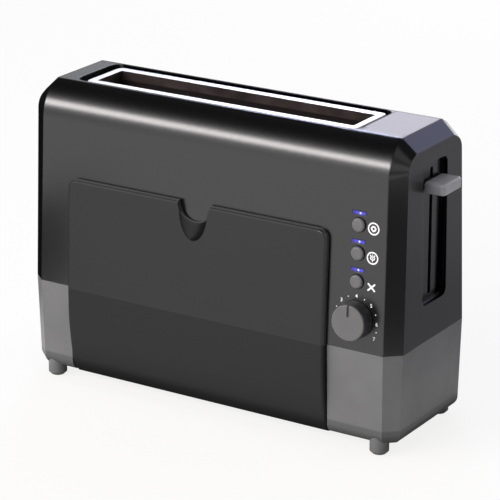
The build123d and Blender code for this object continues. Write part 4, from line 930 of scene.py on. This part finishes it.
def dial_centre():
    turn = next(joint for joint in frame["joints"] if joint["name"] == "dial_turn")
    return turn["pos_m"][0], turn["pos_m"][2]


def make_pointer(paint):
    """Dark pointer line over the dial's groove, turning with the dial."""
    x, z = dial_centre()
    out = reach("dial_knob", FRONT_OUT) - FRONT_OUT.dot(front_place(x, z).translation)

    def line(shape):
        inner, outer = POINTER_REACH
        prism(shape, bar_points((0.0, inner), (0.0, outer), POINTER_WIDTH), PRINT_THICKNESS)

    mesh_piece("dial_pointer", line, front_place(x, z, out + PRINT_PROUD), paint, "dial")


def make_dial_scale(ink):
    """Numbers round the dial with a dot between each pair."""
    place = front_place(*dial_centre(), PRINT_PROUD)
    spots = []
    for degrees, radius in zip(DIAL_ANGLES, DIAL_RADII):
        angle = math.radians(degrees)
        spots.append(Vector((radius * math.cos(angle), radius * math.sin(angle), 0.0)))
    for number, spot in enumerate(spots, 1):
        text = bpy.data.curves.new(f"dial_number_{number}", "FONT")
        text.body = str(number)
        text.size = DIAL_NUMBER_HEIGHT / FONT_DIGIT_SHARE
        text.align_x = "CENTER"
        text.align_y = "CENTER"
        text.extrude = PRINT_THICKNESS / 2
        text.offset = DIAL_NUMBER_BOLD
        text.materials.append(ink)
        piece = add_object(f"dial_number_{number}", text)
        piece.matrix_world = place @ Matrix.Translation(spot)
        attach(piece, "housing")

    def dots(shape):
        for here, after in zip(spots, spots[1:]):
            middle = (here + after).normalized() * (here.length + after.length) / 2
            prism(shape, circle_points(DIAL_DOT_RADIUS, middle, DIAL_DOT_STEPS), PRINT_THICKNESS)

    mesh_piece("dial_dots", dots, place, ink, "housing")


def stage_sheet(name, corners, material):
    """Flat piece of the stage through four corners."""
    mesh = bpy.data.meshes.new(name)
    mesh.from_pydata(corners, [], [(0, 1, 2, 3)])
    mesh.materials.append(material)
    sheet = add_object(name, mesh)
    return sheet


def level_corners(low, high, height):
    """Corners of a level rectangle."""
    return [(low[0], low[1], height), (high[0], low[1], height), (*high, height), (low[0], high[1], height)]


def floor_material():
    """White to the eye and in reflections, still catching the shadow; pale to the light that bounces."""
    material = bpy.data.materials.new("floor")
    material.use_nodes = True
    tree = material.node_tree
    tree.nodes.remove(tree.nodes["Principled BSDF"])
    bounce = add_node(tree, "ShaderNodeBsdfDiffuse", Color=(*grey(FLOOR_BOUNCE), 1.0))
    catch = add_node(tree, "ShaderNodeBsdfDiffuse", Color=(*grey(FLOOR_CATCH), 1.0))
    glow = add_node(tree, "ShaderNodeEmission", Color=FLOOR_GLOW_COLOR, Strength=FLOOR_GLOW)
    seen = add_node(tree, "ShaderNodeAddShader")
    tree.links.new(catch.outputs["BSDF"], seen.inputs[0])
    tree.links.new(glow.outputs["Emission"], seen.inputs[1])
    path = add_node(tree, "ShaderNodeLightPath")
    rays = (path.outputs[f"Is {kind} Ray"] for kind in ("Camera", "Glossy", "Transmission"))
    choice = add_node(tree, "ShaderNodeMixShader")
    tree.links.new(largest(tree, *rays), choice.inputs["Fac"])
    tree.links.new(bounce.outputs["BSDF"], choice.inputs[1])
    tree.links.new(seen.outputs["Shader"], choice.inputs[2])
    tree.links.new(choice.outputs["Shader"], tree.nodes["Material Output"].inputs["Surface"])
    return material


def make_card(name, corners, material):
    """Card that only reflections show."""
    card = stage_sheet(name, corners, material)
    card.visible_camera = False
    card.visible_diffuse = False
    card.visible_shadow = False
    card.visible_transmission = False


def make_stage():
    """Pale floor that keeps the object's shadow, and the cards round the object; the cards on the floor are
    painted shadow in reflections.
    """
    corners = level_corners((-FLOOR_HALF, -FLOOR_HALF), (FLOOR_HALF, FLOOR_HALF), 0.0)
    stage_sheet("floor", corners, floor_material())
    papers = {}
    for tone, level in CARD_TONES.items():
        papers[tone] = new_material(f"{tone}_card", grey(level), CARD_ROUGHNESS, specular=0.0)[0]
    for name, (start, end, height, tone) in UPRIGHT_CARDS.items():
        make_card(name, [(*start, 0.0), (*end, 0.0), (*end, height), (*start, height)], papers[tone])
    for name, (low, high, tone) in FLOOR_SHADOW_CARDS.items():
        make_card(name, level_corners(low, high, FLOOR_CARD_RISE), papers[tone])


def soft_box(name, direction, distance, size, radiance, color, aim):
    """Rectangular soft light that faces a place on the object."""
    data = bpy.data.lights.new(name, "AREA")
    data.shape = "RECTANGLE"
    data.size, data.size_y = size
    data.energy = math.pi * size[0] * size[1] * radiance
    data.color = color
    lamp = add_object(name, data)
    aim_object(lamp, aim + Vector(direction).normalized() * distance, aim)
    return lamp


def lever_spot():
    """Narrow light on the end of the lever."""
    low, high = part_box("lever_knob")
    aim = Vector((high.x, (low.y + high.y) / 2, (low.z + high.z) / 2))
    data = bpy.data.lights.new("lever_spot", "SPOT")
    data.energy = SPOT_POWER
    data.spot_size = SPOT_ANGLE
    data.spot_blend = SPOT_BLEND
    data.shadow_soft_size = SPOT_RADIUS
    aim_object(add_object("lever_spot", data), aim + SPOT_OFFSET, aim)


def make_lights():
    """Long key for the shoulder's highlight, panels that the top and the facets reflect, and plain light."""
    soft_box(
        "key", direction=(-0.532, -0.732, 0.425), distance=2.4, size=(3.4, 0.5), radiance=11.5,
        color=(1.0, 0.962, 0.955), aim=AIM_SHOULDER,
    )
    soft_box(
        "back_panel", direction=(-0.212, 0.955, 0.208), distance=2.2, size=(1.22, 1.0), radiance=1.72,
        color=(0.877, 0.815, 1.0), aim=AIM_TOP,
    )
    soft_box(
        "edge_light", direction=(-0.444, 0.711, 0.545), distance=2.2, size=(0.38, 0.38), radiance=18.0,
        color=(0.66, 0.7, 1.0), aim=AIM_TOP,
    )
    soft_box(
        "back_low", direction=(-0.22, 0.973, 0.07), distance=2.2, size=(0.5, 0.3), radiance=4.0,
        color=WHITE, aim=AIM_TOP,
    )
    soft_box(
        "blue_fill", direction=(0.241, 0.841, 0.485), distance=2.0, size=(0.8, 0.8), radiance=0.6,
        color=(0.26, 0.29, 1.0), aim=AIM_TOP,
    )
    soft_box(
        "side_fill", direction=(0.71, 0.596, 0.375), distance=2.2, size=(0.8, 0.8), radiance=3.0,
        color=(0.97, 0.97, 1.0), aim=AIM_MIDDLE,
    )
    soft_box(
        "corner_fill", direction=(0.709, -0.616, 0.342), distance=2.2, size=(0.8, 0.8), radiance=0.6,
        color=WHITE, aim=AIM_SHOULDER,
    )
    soft_box(
        "facet_fill", direction=(0.524, -0.152, 0.839), distance=1.2, size=(0.5, 1.2), radiance=0.42,
        color=WHITE, aim=AIM_FACET,
    )
    overhead = soft_box(
        "overhead", direction=UP, distance=2.2, size=(0.9, 0.9), radiance=5.8,
        color=(0.97, 0.97, 1.0), aim=AIM_MIDDLE,
    )
    overhead.visible_glossy = False
    lever_spot()


def make_world():
    """White surroundings that go dark overhead, far left and far right."""
    world = bpy.data.worlds.new("studio")
    bpy.context.scene.world = world
    world.use_nodes = True
    tree = world.node_tree
    background = tree.nodes["Background"]
    split = add_node(tree, "ShaderNodeSeparateXYZ")
    tree.links.new(surface(tree, "Generated"), split.inputs["Vector"])
    left = measure(tree, split.outputs["X"], *WORLD_LEFT_FADE, *WORLD_LEFT_LEVELS)
    right = measure(tree, split.outputs["X"], *WORLD_RIGHT_FADE, *WORLD_RIGHT_LEVELS)
    high = falling(tree, split.outputs["Z"], *WORLD_TOP_FADE)
    tree.links.new(multiply(tree, left, right, high), background.inputs["Strength"])
    background.inputs["Color"].default_value = (*WHITE, 1.0)


def main():
    materials = make_materials()
    dress_frame(materials)
    make_lenses(materials["light_lens"])
    make_icons(materials["ink"])
    make_dial_scale(materials["ink"])
    make_pointer(materials["dark_ink"])
    make_camera()
    make_stage()
    make_lights()
    make_world()
    bpy.context.scene.view_settings.view_transform = "Standard"


main()
